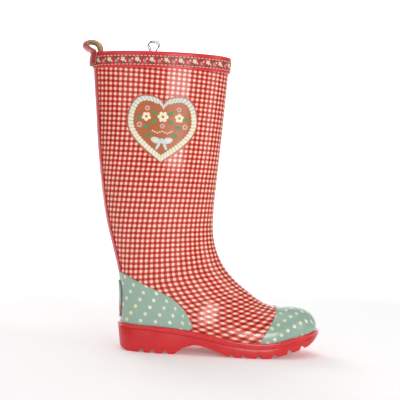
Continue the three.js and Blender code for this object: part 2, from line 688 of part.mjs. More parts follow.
// a prism along the rim: [outwards, up] section, from s0 to s1
function alongRim(points, s0, s1) {
  const shape = new THREE.Shape(points.map(([n, z]) => new THREE.Vector2(n, z)));
  const body = new THREE.ExtrudeGeometry(shape, { depth: s1 - s0, bevelEnabled: false });
  body.rotateX(Math.PI / 2);
  body.rotateZ(Math.PI / 2);
  body.translate(s0, 0, 0);
  return solidFromGeometry(body);
}
function placeClip(solid) {
  return solid.rotate([0, 0, THREE.MathUtils.radToDeg(clip_turn)])
    .translate([clip_spot.point.x, clip_spot.point.y, rimAt(clip_spot.point.x)]);
}
const circle = (n0, z0, r, count) => Array.from({ length: count }, (_, i) => {
  const a = (2 * Math.PI * (i + 0.5)) / count;
  return [n0 + r * Math.cos(a), z0 + r * Math.sin(a)];
});
const cheek = (out) => [[-jaw_half - out, -clip_reach - 0.6], [-crown_half - out, clip_crown - 2],
  [-crown_half + 1.4 - out * 0.4, clip_crown - clip_sheet + out], [crown_half - 1.4 + out * 0.4,
    clip_crown - clip_sheet + out], [crown_half + out, clip_crown - 2], [jaw_half + out, -clip_reach - 0.6]];
const shiftOut = (points) => points.map(([n, z]) => [n + jaw_mid, z]);
let clip_body = alongRim(shiftOut(cheek(clip_sheet)), -clip_length / 2, clip_length / 2)
  .subtract(alongRim(shiftOut(cheek(0)), -clip_length, clip_length));
[-1, 1].forEach((side) => {
  const at = jaw_mid + side * curl_at;
  [-1, 1].forEach((end) => {
    const s0 = end < 0 ? -clip_length / 2 : curl_from;
    const s1 = end < 0 ? -curl_from : clip_length / 2;
    clip_body = clip_body.add(alongRim(circle(at, -clip_reach, curl_radius, 12), s0, s1))
      .subtract(alongRim(circle(at, -clip_reach, curl_bore, 12), s0 - 1, s1 + 1));
  });
});
add('clip_body', placeClip(clip_body), 0x1c1d1f, 0.35, 0.6);

function clipHandle(side) {
  const bulb = handle_bulb / 2 - wire / 2;
  const neck = handle_neck / 2;
  const l = handle_length - wire / 2;
  const right = [[clip_length / 2 - 1, 0], [11.4, 0], [9.8, 0.2], [8.4, 1.5], [7.2, 4.6], [5.5, 11],
    [neck, 0.56 * l], [neck + 0.7, 0.66 * l], [bulb, 0.82 * l], [bulb * 0.86, 0.93 * l],
    [bulb * 0.45, 0.99 * l], [0, l]];
  const left = right.slice(0, -1).map(([s, h]) => [-s, h]).reverse();
  const lean = Math.asin((curl_at - (crown_half + clip_sheet + gap + wire / 2)) / (clip_reach + clip_crown));
  const points = [...right, ...left].map(([s, h]) => new THREE.Vector3(s,
    jaw_mid + side * (curl_at - h * Math.sin(lean)), -clip_reach + h * Math.cos(lean)));
  const path = new THREE.CatmullRomCurve3(points, false, 'centripetal');
  const section = new THREE.Shape(circle(0, 0, wire / 2, 6).map(([a, b]) => new THREE.Vector2(a, b)));
  const tube = new THREE.ExtrudeGeometry(section, { steps: 40, extrudePath: path });
  return solidFromGeometry(tube);
}
add('clip_handle_outer', placeClip(clipHandle(1)), steel, 0.25, 1);
add('clip_handle_inner', placeClip(clipHandle(-1)), steel, 0.25, 1);

// ---------- origin: middle of the box that the boot fills, on the ground ----------
const box = new THREE.Box3().setFromObject(group);
const middle = box.getCenter(new THREE.Vector3());
group.children.forEach((node) => {
  node.geometry.translate(-middle.x, -middle.y, -box.min.z);
});

export default group;
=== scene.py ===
# Looks of a women's mid-calf rubber rain boot, right foot: rubber skins, printed trims, sole, loop and clip.
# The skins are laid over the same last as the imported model.
# Pieces are sized in millimetres and placed in metres.
import math

import bpy
import numpy as np
from mathutils import Matrix, Vector


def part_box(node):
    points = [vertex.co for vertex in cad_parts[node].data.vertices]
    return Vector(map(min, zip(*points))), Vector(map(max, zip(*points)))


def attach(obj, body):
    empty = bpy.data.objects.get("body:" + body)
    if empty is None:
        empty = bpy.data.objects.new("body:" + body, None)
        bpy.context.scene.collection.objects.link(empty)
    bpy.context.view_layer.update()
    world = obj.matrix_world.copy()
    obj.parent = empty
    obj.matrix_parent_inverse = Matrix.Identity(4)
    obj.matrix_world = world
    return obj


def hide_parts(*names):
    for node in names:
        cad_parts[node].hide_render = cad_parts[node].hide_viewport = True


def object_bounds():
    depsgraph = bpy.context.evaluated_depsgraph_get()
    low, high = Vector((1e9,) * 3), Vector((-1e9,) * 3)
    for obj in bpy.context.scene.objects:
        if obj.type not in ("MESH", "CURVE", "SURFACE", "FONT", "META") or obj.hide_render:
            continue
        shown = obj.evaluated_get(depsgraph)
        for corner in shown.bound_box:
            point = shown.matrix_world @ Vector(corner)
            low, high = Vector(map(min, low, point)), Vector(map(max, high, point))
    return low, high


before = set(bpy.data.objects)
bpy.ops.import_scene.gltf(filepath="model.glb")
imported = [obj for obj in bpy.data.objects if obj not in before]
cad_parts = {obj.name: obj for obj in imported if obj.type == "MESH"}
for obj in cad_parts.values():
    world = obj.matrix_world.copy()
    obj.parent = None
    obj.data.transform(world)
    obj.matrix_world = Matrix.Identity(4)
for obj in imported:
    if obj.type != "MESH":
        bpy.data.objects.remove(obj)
packed_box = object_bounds()

# ---------- the last: rings down the leg and along the foot ----------
# front x, z,  back x, z,  half width, low, front, back, side (millimetres from the heel back and the ground)
LAST = np.array([
    [132.0, 415.0, -56.2, 409.0, 44.0, 0.00, 0.95, 0.95, 0.0],
    [130.5, 385.0, -51.6, 379.0, 44.0, 0.00, 0.95, 0.95, 0.0],
    [128.0, 330.0, -45.0, 322.0, 45.0, 0.00, 0.95, 0.95, 0.0],
    [125.2, 275.0, -38.6, 265.0, 45.5, 0.00, 0.95, 0.95, 0.0],
    [122.3, 222.0, -30.0, 208.0, 44.5, 0.00, 0.95, 0.95, 0.0],
    [121.0, 190.0, -22.5, 172.0, 42.0, 0.02, 0.95, 0.95, -0.3],
    [121.8, 163.0, -12.5, 138.0, 39.0, 0.05, 0.95, 0.92, -0.8],
    [127.5, 139.0, -3.0, 106.0, 37.0, 0.06, 0.95, 0.85, -0.9],
    [139.8, 115.6, 2.0, 76.0, 36.4, 0.05, 0.98, 0.74, -1.0],
    [156.8, 97.2, 3.5, 48.0, 36.6, 0.05, 1.00, 0.66, -1.2],
    [172.5, 84.8, 9.0, 19.0, 37.4, 0.08, 1.00, 0.60, -1.4],
    [184.5, 76.2, 44.0, 6.0, 39.0, 0.14, 0.98, 0.56, -1.8],
    [195.0, 70.2, 94.0, 2.0, 42.4, 0.20, 0.96, 0.52, -1.8],
    [206.0, 66.3, 142.0, -3.0, 46.4, 0.24, 0.94, 0.50, -0.8],
    [219.0, 63.7, 182.0, -4.0, 48.5, 0.22, 0.90, 0.50, 0.6],
    [232.5, 64.6, 214.0, -1.0, 47.0, 0.16, 0.84, 0.52, 2.8],
    [246.5, 63.8, 238.0, 6.0, 41.8, 0.10, 0.80, 0.58, 5.0],
    [259.3, 59.6, 255.5, 13.0, 33.0, 0.05, 0.80, 0.66, 6.6],
    [268.6, 50.4, 266.5, 21.0, 21.8, 0.00, 0.86, 0.80, 7.6],
    [274.0, 36.0, 274.0, 36.0, 0.0, 0.00, 1.00, 1.00, 8.0]])
TOE_ROW = len(LAST) - 1
FLOOR = [[0, 24.5], [40, 23.5], [75, 21.5], [110, 17.5], [142, 12.6], [180, 10.5],
         [206, 11.3], [232, 15], [252, 19.5], [268, 25], [277, 29]]
SOLE_TOP = [[2, 36.5], [25, 36.2], [62, 35], [100, 31.2], [129, 26.2], [151, 21.8],
            [182, 19.6], [203, 20.7], [224, 26], [249, 31.6], [272, 35.6]]
RIDGE = [[2, 31.4], [35, 30.4], [66, 28], [97, 24.1], [126, 19.4], [151, 15],
         [182, 12.6], [203, 14.2], [224, 19.6], [249, 25.2], [272, 28.8]]
TREAD = [[3, 4.2], [13, 0], [72, 0], [85, 9.2], [103, 13.6], [118, 10.6], [134, 5],
         [152, 0], [194, 0], [212, 3.4], [232, 8.6], [254, 14.6], [268, 22.5], [279, 32]]
FEATHER_SOFTNESS = 3.4


def side_line(points, x):
    """Height of a side-view line at x, rising and falling only between its points."""
    p = np.array(points, float)
    x = np.clip(np.asarray(x, float), p[0, 0], p[-1, 0])
    slope = np.diff(p[:, 1]) / np.diff(p[:, 0])
    tangent = np.zeros(len(p))
    for k in range(1, len(p) - 1):
        a, b = slope[k - 1], slope[k]
        tangent[k] = 0 if a * b <= 0 else 2 * a * b / (a + b)
    i = np.clip(np.searchsorted(p[:, 0], x, side="right") - 1, 0, len(p) - 2)
    h = p[i + 1, 0] - p[i, 0]
    t = (x - p[i, 0]) / h
    return ((2 * t**3 - 3 * t**2 + 1) * p[i, 1] + (t**3 - 2 * t**2 + t) * h * tangent[i]
            + (3 * t**2 - 2 * t**3) * p[i + 1, 1] + (t**3 - t**2) * h * tangent[i + 1])


def ring_values(v):
    """The table's nine numbers at the real ring number v."""
    n = len(LAST)
    v = np.asarray(v, float)
    i = np.clip(np.floor(v).astype(int), 0, n - 2)
    t = (v - i)[..., None]
    b, c = LAST[i], LAST[i + 1]
    a = np.where((i == 0)[..., None], 2 * LAST[0] - LAST[1], LAST[np.maximum(i - 1, 0)])
    d = np.where((i == n - 2)[..., None], 2 * LAST[n - 1] - LAST[n - 2], LAST[np.minimum(i + 2, n - 1)])
    m0, m1 = (c - a) / 2, (d - b) / 2
    return ((2 * t**3 - 3 * t**2 + 1) * b + (t**3 - 2 * t**2 + t) * m0
            + (3 * t**2 - 2 * t**3) * c + (t**3 - t**2) * m1)


def last_point(v, turn):
    """A point of the last. turn is 0 at the front of a ring, half a turn at the back, positive medially."""
    v, turn = np.broadcast_arrays(np.asarray(v, float), np.asarray(turn, float))
    k = ring_values(v)
    c, s = np.cos(turn), np.sin(turn)
    reach = -c + k[..., 5] * s * s
    x = (k[..., 0] + k[..., 2]) / 2 + (k[..., 2] - k[..., 0]) / 2 * reach
    z = (k[..., 1] + k[..., 3]) / 2 + (k[..., 3] - k[..., 1]) / 2 * reach
    boxy = k[..., 6] + (k[..., 7] - k[..., 6]) * (1 - c) / 2
    y = np.maximum(0, k[..., 4]) * np.abs(s) ** boxy * np.sign(s) + k[..., 8]
    under = side_line(FLOOR, x)
    z = under + FEATHER_SOFTNESS * np.logaddexp(0, (z - under) / FEATHER_SOFTNESS)
    return np.stack([x, y, z], -1)


def last_normal(v, turn, reach=0.03):
    """Outward direction of the last; a longer reach evens it out over the tight bends."""
    v, turn = np.broadcast_arrays(np.asarray(v, float), np.asarray(turn, float))
    along = last_point(np.minimum(TOE_ROW, v + reach), turn) - last_point(np.maximum(0, v - reach), turn)
    across = last_point(v, turn + reach) - last_point(v, turn - reach)
    n = np.cross(along, across)
    return n / np.maximum(1e-9, np.linalg.norm(n, axis=-1, keepdims=True))


def skin(v, turn, out=0.0, reach=0.03):
    """The last grown by out millimetres."""
    out = np.asarray(out, float)
    return last_point(v, turn) + last_normal(v, turn, reach) * (out[..., None] if out.ndim else out)


# ---------- places on the last ----------


def where_on(test, low, high, steps=44):
    """The value between low and high at which test(value) stops being true, for whole arrays at once."""
    low, high = np.broadcast_arrays(np.asarray(low, float), np.asarray(high, float))
    low, high = low.copy(), high.copy()
    for _ in range(steps):
        mid = (low + high) / 2
        inside = test(mid)
        low = np.where(inside, mid, low)
        high = np.where(inside, high, mid)
    return (low + high) / 2


RIM_BACK_HEIGHT, RIM_RISE, RIM_FRONT_X, RIM_BACK_X = 391.0, 6.0, 131.4, -55.0


def rim_height(x):
    return RIM_BACK_HEIGHT + RIM_RISE * (x - RIM_BACK_X) / (RIM_FRONT_X - RIM_BACK_X)


def ring_below_rim(drop, turn):
    """Ring number at a place that many millimetres under the rim."""
    drop, turn = np.broadcast_arrays(np.asarray(drop, float), np.asarray(turn, float))

    def above(v):
        p = last_point(v, turn)
        return p[..., 2] > rim_height(p[..., 0]) - drop
    return where_on(above, np.zeros(drop.shape), np.full(drop.shape, 6.0), 34)


def line_side(line, x, z):
    """Positive on the left of a side-view line of [x, z] points, as one walks along it."""
    line = np.array(line, float)
    best = np.full(np.shape(x), 1e9)
    side = np.zeros(np.shape(x))
    for (ax, az), (bx, bz) in zip(line[:-1], line[1:]):
        dx, dz = bx - ax, bz - az
        t = np.clip(((x - ax) * dx + (z - az) * dz) / (dx * dx + dz * dz), 0, 1)
        gap = np.hypot(x - ax - t * dx, z - az - t * dz)
        cross = dx * (z - az) - dz * (x - ax)
        nearer = gap < best - 1e-9
        side = np.where(nearer, np.sign(cross) * gap, side)
        best = np.where(nearer, gap, best)
    return side


def smooth_line(points, count=60):
    """A finely stepped curve through side-view points."""
    p = np.array(points, float)
    p = np.vstack([2 * p[0] - p[1], p, 2 * p[-1] - p[-2]])
    out = []
    for i in range(1, len(p) - 2):
        for t in np.linspace(0, 1, count // (len(p) - 3) + 1, endpoint=False):
            a, b, c, d = p[i - 1:i + 3]
            out.append(0.5 * (2 * b + (c - a) * t + (2 * a - 5 * b + 4 * c - d) * t * t
                              + (3 * b - a - 3 * c + d) * t**3))
    return np.array(out + [p[-2]])


CAP_LINE = smooth_line([[225, 90], [218, 72], [205, 50], [188, 24], [176, 2]])
COUNTER_LINE = smooth_line([[-40, 106], [-2, 103.5], [17.4, 94.8], [38, 86.3], [57.8, 78], [71.5, 70],
                            [83, 59.5], [91.5, 47], [97.6, 34], [101, 8]])


def sole_turn(v, lift=0.3):
    """How far round a ring goes, from its front, before it meets the top of the sole."""
    def above(turn):
        p = last_point(v, turn)
        return p[..., 2] > side_line(SOLE_TOP, p[..., 0]) + lift
    return where_on(above, np.zeros(np.shape(v)), np.full(np.shape(v), np.pi))


# ---------- meshes ----------
strip_low, strip_high = (Vector(corner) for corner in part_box("foxing_strip"))
band_low, band_high = (Vector(corner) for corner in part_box("rim_band"))
PLACE = Vector(((strip_low.x + strip_high.x) / 2 - 0.1385, (band_low.y + band_high.y) / 2, packed_box[0][2]))


def to_frame(points_mm):
    return np.asarray(points_mm, float).reshape(-1, 3) / 1000 + np.array(PLACE)


def piece(name, points_mm, faces, material, maps=None, smooth=True, bevel=0.0, body="boot", slot=None,
          replaces=(), bevel_angle=42):
    """A finished piece: a mesh in the shared frame with its finish, riding on a body of the part."""
    mesh = bpy.data.meshes.new(name)
    mesh.from_pydata(to_frame(points_mm).tolist(), [], [tuple(int(i) for i in f) for f in faces])
    for key, values in (maps or {}).items():
        layer = mesh.uv_layers.new(name=key)
        corner = np.empty(len(mesh.loops), np.int32)
        mesh.loops.foreach_get("vertex_index", corner)
        layer.data.foreach_set("uv", np.asarray(values, np.float32)[corner].ravel())
    mesh.validate(clean_customdata=False)
    mesh.update()
    if smooth:
        mesh.polygons.foreach_set("use_smooth", [True] * len(mesh.polygons))
    obj = bpy.data.objects.new(name, mesh)
    bpy.context.scene.collection.objects.link(obj)
    mesh.materials.append(material)
    if bevel:
        edge = obj.modifiers.new("rounded_edges", "BEVEL")
        edge.width, edge.segments, edge.limit_method = bevel / 1000, 2, "ANGLE"
        edge.angle_limit = math.radians(bevel_angle)
        edge.harden_normals = False
    if smooth:
        mesh.set_sharp_from_angle(angle=math.radians(50))
    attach(obj, body)
    if replaces:
        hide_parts(*replaces)
    return obj


def slab(outer, inner, wrap=False):
    """Points and faces of the closed solid between two grids [rows, columns, 3].

    wrap joins the columns round.
    """
    rows, cols = outer.shape[:2]
    size = rows * cols
    points = np.vstack([outer.reshape(-1, 3), inner.reshape(-1, 3)])
    ids = np.arange(size).reshape(rows, cols)
    last_col = cols if wrap else cols - 1
    j, i = np.meshgrid(np.arange(rows - 1), np.arange(last_col), indexing="ij")
    k = (i + 1) % cols
    a, b, c, d = ids[j, i].ravel(), ids[j, k].ravel(), ids[j + 1, k].ravel(), ids[j + 1, i].ravel()
    faces = [np.stack([a, d, c, b], 1), np.stack([a, b, c, d], 1) + size]
    i = np.arange(last_col)
    k = (i + 1) % cols
    for row, flip in ((0, False), (rows - 1, True)):
        quad = [ids[row, i], ids[row, k], ids[row, k] + size, ids[row, i] + size]
        faces.append(np.stack(quad[::-1] if flip else quad, 1))
    if not wrap:
        j = np.arange(rows - 1)
        for col, flip in ((0, True), (cols - 1, False)):
            quad = [ids[j, col], ids[j + 1, col], ids[j + 1, col] + size, ids[j, col] + size]
            faces.append(np.stack(quad[::-1] if not flip else quad, 1))
    return points, np.vstack(faces)


def facing_out(points, faces):
    """The same faces, turned over if the solid they close is inside out."""
    p = points
    f = np.asarray(faces)
    a, b, c = p[f[:, 0]], p[f[:, 1]], p[f[:, 2]]
    volume = np.einsum("ij,ij->i", a, np.cross(b, c)).sum()
    if f.shape[1] == 4:
        d = p[f[:, 3]]
        volume += np.einsum("ij,ij->i", a, np.cross(c, d)).sum()
    return f if volume > 0 else f[:, ::-1]


def arc_steps(grid):
    """Running length along each row of a grid of points."""
    step = np.linalg.norm(np.diff(grid, axis=1), axis=-1)
    return np.concatenate([np.zeros((len(grid), 1)), np.cumsum(step, 1)], 1)


def layer_piece(name, v, turn, low, high, material, maps=None, wrap=False, edge=0.0, reach=0.03, **more):
    """A layer of rubber or cloth over the last, between low and high millimetres out, on a grid of places."""
    outer, inner = skin(v, turn, high, reach), skin(v, turn, low, reach)
    points, faces = slab(outer, inner, wrap)
    doubled = {k: np.vstack([m.reshape(-1, 2)] * 2) for k, m in (maps or {}).items()}
    return piece(name, points, facing_out(points, faces), material, doubled, bevel=edge, **more)


# ---------- shader building ----------
class Finish:
    """Short ways to place nodes in one material or one shader group."""

    def __init__(self, tree):
        self.tree, self.nodes, self.links = tree, tree.nodes, tree.links

    def add(self, kind, **settings):
        node = self.nodes.new(kind)
        for key, value in settings.items():
            setattr(node, key, value)
        return node

    def feed(self, socket, value):
        if value is None:
            return
        if hasattr(value, "is_output"):
            self.links.new(value, socket)
        elif isinstance(value, (tuple, list)) and len(value) == 3 and socket.type == "RGBA":
            socket.default_value = (*value, 1)
        else:
            socket.default_value = value

    def sum(self, operation, a, b=None, c=None, clamp=False):
        node = self.add("ShaderNodeMath", operation=operation, use_clamp=clamp)
        for socket, value in zip(node.inputs, (a, b, c)):
            self.feed(socket, value)
        return node.outputs[0]

    def ramp(self, value, low, high, to_low=0.0, to_high=1.0, smooth=True):
        node = self.add("ShaderNodeMapRange", interpolation_type="SMOOTHSTEP" if smooth else "LINEAR")
        for socket, given in zip(node.inputs, (value, low, high, to_low, to_high)):
            self.feed(socket, given)
        return node.outputs[0]

    def blend(self, factor, a, b, mode="MIX"):
        node = self.add("ShaderNodeMix", data_type="RGBA", blend_type=mode)
        self.feed(node.inputs[0], factor)
        self.feed(node.inputs[6], a)
        self.feed(node.inputs[7], b)
        return node.outputs[2]

    def noise(self, where, scale, detail=2.0, rough=0.5):
        node = self.add("ShaderNodeTexNoise")
        self.feed(node.inputs["Vector"], where)
        node.inputs["Scale"].default_value = scale
        node.inputs["Detail"].default_value = detail
        node.inputs["Roughness"].default_value = rough
        return node.outputs[0]

    def object_place(self):
        return self.add("ShaderNodeTexCoord").outputs["Object"]

    def map(self, name):
        return self.add("ShaderNodeUVMap", uv_map=name).outputs[0]

    def parts(self, vector):
        return self.add_fed("ShaderNodeSeparateXYZ", vector).outputs

    def add_fed(self, kind, *values, **settings):
        node = self.add(kind, **settings)
        for socket, value in zip(node.inputs, values):
            self.feed(socket, value)
        return node

    def group(self, tree, **values):
        node = self.add("ShaderNodeGroup")
        node.node_tree = tree
        for key, value in values.items():
            self.feed(node.inputs[key.replace("_", " ")], value)
        return node.outputs

    def bump(self, height, strength, distance):
        node = self.add("ShaderNodeBump")
        node.inputs["Strength"].default_value = strength
        node.inputs["Distance"].default_value = distance
        self.feed(node.inputs["Height"], height)
        return node.outputs[0]


def shader_group(name, inputs, outputs):
    """An empty shader group with named sockets: returns it, its Finish, and its input and output nodes."""
    tree = bpy.data.node_groups.new(name, "ShaderNodeTree")
    kinds = {"value": "NodeSocketFloat", "colour": "NodeSocketColor", "place": "NodeSocketVector"}
    for socket, kind, start in inputs:
        made = tree.interface.new_socket(name=socket, in_out="INPUT", socket_type=kinds[kind])
        if start is not None:
            made.default_value = (*start, 1) if kind == "colour" else start
    for socket, kind in outputs:
        tree.interface.new_socket(name=socket, in_out="OUTPUT", socket_type=kinds[kind])
    make = Finish(tree)
    return tree, make, make.add("NodeGroupInput").outputs, make.add("NodeGroupOutput").inputs


def principled(name, **constants):
    """A new material with its Principled shader: returns the material, its Finish and the shader's inputs."""
    material = bpy.data.materials.new(name)
    material.use_nodes = True
    make = Finish(material.node_tree)
    shader = next(n for n in make.nodes if n.type == "BSDF_PRINCIPLED")
    for key, value in constants.items():
        socket = shader.inputs[key.replace("_", " ")]
        socket.default_value = (*value, 1) if isinstance(value, tuple) and len(value) == 3 else value
    return material, make, shader.inputs


def rgb(r, g, b):
    """A colour given as it looks on a screen, 0 to 255, turned into light amounts."""
    def light(c):
        c /= 255
        return c / 12.92 if c <= 0.04045 else ((c + 0.055) / 1.055) ** 2.4
    return (light(r), light(g), light(b))


def make_rubber_grain():
    """Faint waviness and orange peel of dipped rubber, and the patches where its gloss is duller."""
    tree, make, given, out = shader_group("rubber_grain",
                                          [("Place", "place", None), ("Peel", "value", 0.5),
                                           ("Wave", "value", 0.5)],
                                          [("Height", "value"), ("Dull", "value")])
    wave = make.noise(given["Place"], 22, 2)
    peel = make.noise(given["Place"], 420, 2, 0.6)
    height = make.sum("ADD", make.sum("MULTIPLY", wave, given["Wave"]),
                      make.sum("MULTIPLY", peel, make.sum("MULTIPLY", given["Peel"], 0.12)))
    make.feed(out["Height"], height)
    dull = make.ramp(make.noise(given["Place"], 60, 5, 0.65), 0.42, 0.72)
    make.feed(out["Dull"], dull)
    return tree


def make_colour_drift():
    """Slow, uneven change of a colour over a surface, with a few specks."""
    tree, make, given, out = shader_group("colour_drift",
                                          [("Place", "place", None), ("Colour", "colour", (1, 1, 1)),
                                           ("Amount", "value", 0.1), ("Scale", "value", 30.0)],
                                          [("Colour", "colour")])
    texture = make.add("ShaderNodeTexNoise")
    make.feed(texture.inputs["Vector"], given["Place"])
    make.feed(texture.inputs["Scale"], given["Scale"])
    texture.inputs["Detail"].default_value = 6
    texture.inputs["Roughness"].default_value = 0.6
    shift = make.sum("MULTIPLY", make.sum("SUBTRACT", texture.outputs[0], 0.5), given["Amount"])
    node = make.add("ShaderNodeHueSaturation")
    make.feed(node.inputs["Value"], make.sum("ADD", 1.0, make.sum("MULTIPLY", shift, 2.0)))
    make.feed(node.inputs["Color"], given["Colour"])
    make.feed(out["Colour"], node.outputs[0])
    return tree


def make_woven_threads():
    """Over-and-under threads of a plain weave. Count is threads to one unit of the map."""
    tree, make, given, out = shader_group("woven_threads",
                                          [("Map", "place", None), ("Count", "value", 8.0)],
                                          [("Height", "value"), ("Warp over", "value")])
    x, y, _ = make.parts(given["Map"])
    u, v = make.sum("MULTIPLY", x, given["Count"]), make.sum("MULTIPLY", y, given["Count"])
    cell = make.sum("ADD", make.sum("FLOOR", u), make.sum("FLOOR", v))
    over = make.sum("PINGPONG", cell, 1.0)
    round_u = make.sum("SINE", make.sum("MULTIPLY", make.sum("FRACT", u), math.pi))
    round_v = make.sum("SINE", make.sum("MULTIPLY", make.sum("FRACT", v), math.pi))
    warp = make.sum("MULTIPLY", round_u, make.sum("ADD", 0.45, make.sum("MULTIPLY", round_v, 0.55)))
    weft = make.sum("MULTIPLY", round_v, make.sum("ADD", 0.45, make.sum("MULTIPLY", round_u, 0.55)))
    height = make.sum("ADD", make.sum("MULTIPLY", warp, over),
                      make.sum("MULTIPLY", weft, make.sum("SUBTRACT", 1.0, over)))
    make.feed(out["Height"], height)
    make.feed(out["Warp over"], over)
    return tree


def make_stripe():
    """One soft-edged stripe to each unit of a running value."""
    tree, make, given, out = shader_group("yarn_stripe",
                                          [("Run", "value", 0.0), ("Share", "value", 0.5),
                                           ("Soft", "value", 0.06)],
                                          [("Mask", "value")])
    middle = make.sum("ABSOLUTE", make.sum("SUBTRACT", make.sum("FRACT", given["Run"]), 0.5))
    half = make.sum("MULTIPLY", given["Share"], 0.5)
    make.feed(out["Mask"], make.ramp(middle, make.sum("ADD", half, given["Soft"]),
                                     make.sum("SUBTRACT", half, given["Soft"]), 0.0, 1.0))
    return tree


def make_scattered_dots():
    """A slanting lattice of round dots, with their number and a soft rim. Map is in millimetres."""
    tree, make, given, out = shader_group("scattered_dots",
                                          [("Map", "place", None), ("Across", "value", 20.0),
                                           ("Rows", "value", 9.3),
                                           ("Slant", "value", 6.2), ("Radius", "value", 2.5)],
                                          [("Mask", "value"), ("Number", "value")])
    x, y, _ = make.parts(given["Map"])
    row = make.sum("DIVIDE", y, given["Rows"])
    col = make.sum("DIVIDE", make.sum("SUBTRACT", x, make.sum("MULTIPLY", row, given["Slant"])),
                   given["Across"])
    off_row = make.sum("SUBTRACT", make.sum("FRACT", row), 0.5)
    off_col = make.sum("SUBTRACT", make.sum("FRACT", col), 0.5)
    dx = make.sum("ADD", make.sum("MULTIPLY", off_col, given["Across"]),
                  make.sum("MULTIPLY", off_row, given["Slant"]))
    dy = make.sum("MULTIPLY", off_row, given["Rows"])
    far = make.sum("SQRT", make.sum("ADD", make.sum("MULTIPLY", dx, dx), make.sum("MULTIPLY", dy, dy)))
    make.feed(out["Mask"], make.ramp(make.sum("SUBTRACT", far, given["Radius"]), 0.25, -0.25, 0.0, 1.0))
    cell = make.add_fed("ShaderNodeCombineXYZ", make.sum("FLOOR", col), make.sum("FLOOR", row))
    number = make.add("ShaderNodeTexWhiteNoise", noise_dimensions="2D")
    make.feed(number.inputs["Vector"], cell.outputs[0])
    make.feed(out["Number"], number.outputs["Value"])
    return tree


RUBBER_GRAIN = make_rubber_grain()
COLOUR_DRIFT = make_colour_drift()
WOVEN_THREADS = make_woven_threads()
YARN_STRIPE = make_stripe()
SCATTERED_DOTS = make_scattered_dots()


# ---------- finishes ----------
def gloss_rubber(name, colour, rough=0.3, dull=0.12, coat=0.5, peel=0.5, wave=0.6, drift=0.05):
    """Moulded or dipped rubber in one colour."""
    material, make, shader = principled(name, Coat_Weight=coat, Coat_Roughness=0.12, Specular_IOR_Level=0.5)
    where = make.object_place()
    grain = make.group(RUBBER_GRAIN, Place=where, Peel=peel, Wave=wave)
    tint = make.group(COLOUR_DRIFT, Place=where, Colour=colour, Amount=drift, Scale=34.0)
    make.feed(shader["Base Color"], tint["Colour"])
    make.feed(shader["Roughness"], make.ramp(grain["Dull"], 0, 1, rough, rough + dull, smooth=False))
    make.feed(shader["Normal"], make.bump(grain["Height"], 0.25, 0.0006))
    return material


def gingham_under_gloss():
    """Red and cream gingham cloth seen through a clear rubber skin."""
    material, make, shader = principled("gingham_under_clear_rubber", Coat_Weight=0.6, Coat_Roughness=0.1,
                                        Specular_IOR_Level=0.22)
    checks = make.map("checks")
    where = make.object_place()
    wobble = make.noise(where, 130, 2)
    u, v, _ = make.parts(checks)
    nudge = make.sum("MULTIPLY", make.sum("SUBTRACT", wobble, 0.5), 0.16)
    down = make.group(YARN_STRIPE, Run=make.sum("ADD", u, nudge), Share=0.52, Soft=0.07)["Mask"]
    round_leg = make.group(YARN_STRIPE, Run=make.sum("ADD", v, nudge), Share=0.52, Soft=0.07)["Mask"]
    both = make.sum("MULTIPLY", down, round_leg)
    either = make.sum("MAXIMUM", down, round_leg)
    cream, pink, deep = rgb(254, 230, 196), rgb(232, 78, 72), rgb(160, 0, 8)
    colour = make.blend(either, cream, pink)
    colour = make.blend(both, colour, deep)
    weave = make.group(WOVEN_THREADS, Map=checks, Count=9.0)
    thread_shade = make.ramp(weave["Height"], 0.2, 0.9, 0.9, 1.04, smooth=False)
    shaded = make.add("ShaderNodeHueSaturation")
    make.feed(shaded.inputs["Color"], colour)
    make.feed(shaded.inputs["Value"], thread_shade)
    grain = make.group(RUBBER_GRAIN, Place=where, Peel=0.5, Wave=0.7)
    tint = make.group(COLOUR_DRIFT, Place=where, Colour=shaded.outputs[0], Amount=0.06, Scale=26.0)
    make.feed(shader["Base Color"], tint["Colour"])
    make.feed(shader["Roughness"], make.ramp(grain["Dull"], 0, 1, 0.34, 0.46, smooth=False))
    make.feed(shader["Normal"], make.bump(grain["Height"], 0.22, 0.0006))
    return material


def mint_with_dots(name, across, rows, slant):
    """Mint rubber printed with pale dots in four tints."""
    material, make, shader = principled(name, Coat_Weight=0.6, Coat_Roughness=0.12,
                                        Specular_IOR_Level=0.45)
    where = make.object_place()
    dots = make.group(SCATTERED_DOTS, Map=make.map("dots"), Across=across, Rows=rows, Slant=slant,
                      Radius=2.45)
    tints = make.add("ShaderNodeValToRGB")
    tints.color_ramp.interpolation = "CONSTANT"
    choices = [(0.0, rgb(238, 240, 226)), (0.42, rgb(240, 222, 222)), (0.62, rgb(236, 228, 178)),
               (0.78, rgb(214, 232, 214))]
    while len(tints.color_ramp.elements) < len(choices):
        tints.color_ramp.elements.new(0.5)
    for element, (position, colour) in zip(tints.color_ramp.elements, choices):
        element.position, element.color = position, (*colour, 1)
    make.feed(tints.inputs[0], dots["Number"])
    base = make.group(COLOUR_DRIFT, Place=where, Colour=rgb(152, 182, 164), Amount=0.07, Scale=40.0)
    make.feed(shader["Base Color"], make.blend(dots["Mask"], base["Colour"], tints.outputs[0]))
    grain = make.group(RUBBER_GRAIN, Place=where, Peel=0.5, Wave=0.6)
    make.feed(shader["Roughness"], make.ramp(grain["Dull"], 0, 1, 0.3, 0.42, smooth=False))
    height = make.sum("ADD", grain["Height"], make.sum("MULTIPLY", dots["Mask"], 0.12))
    make.feed(shader["Normal"], make.bump(height, 0.22, 0.0006))
    return material


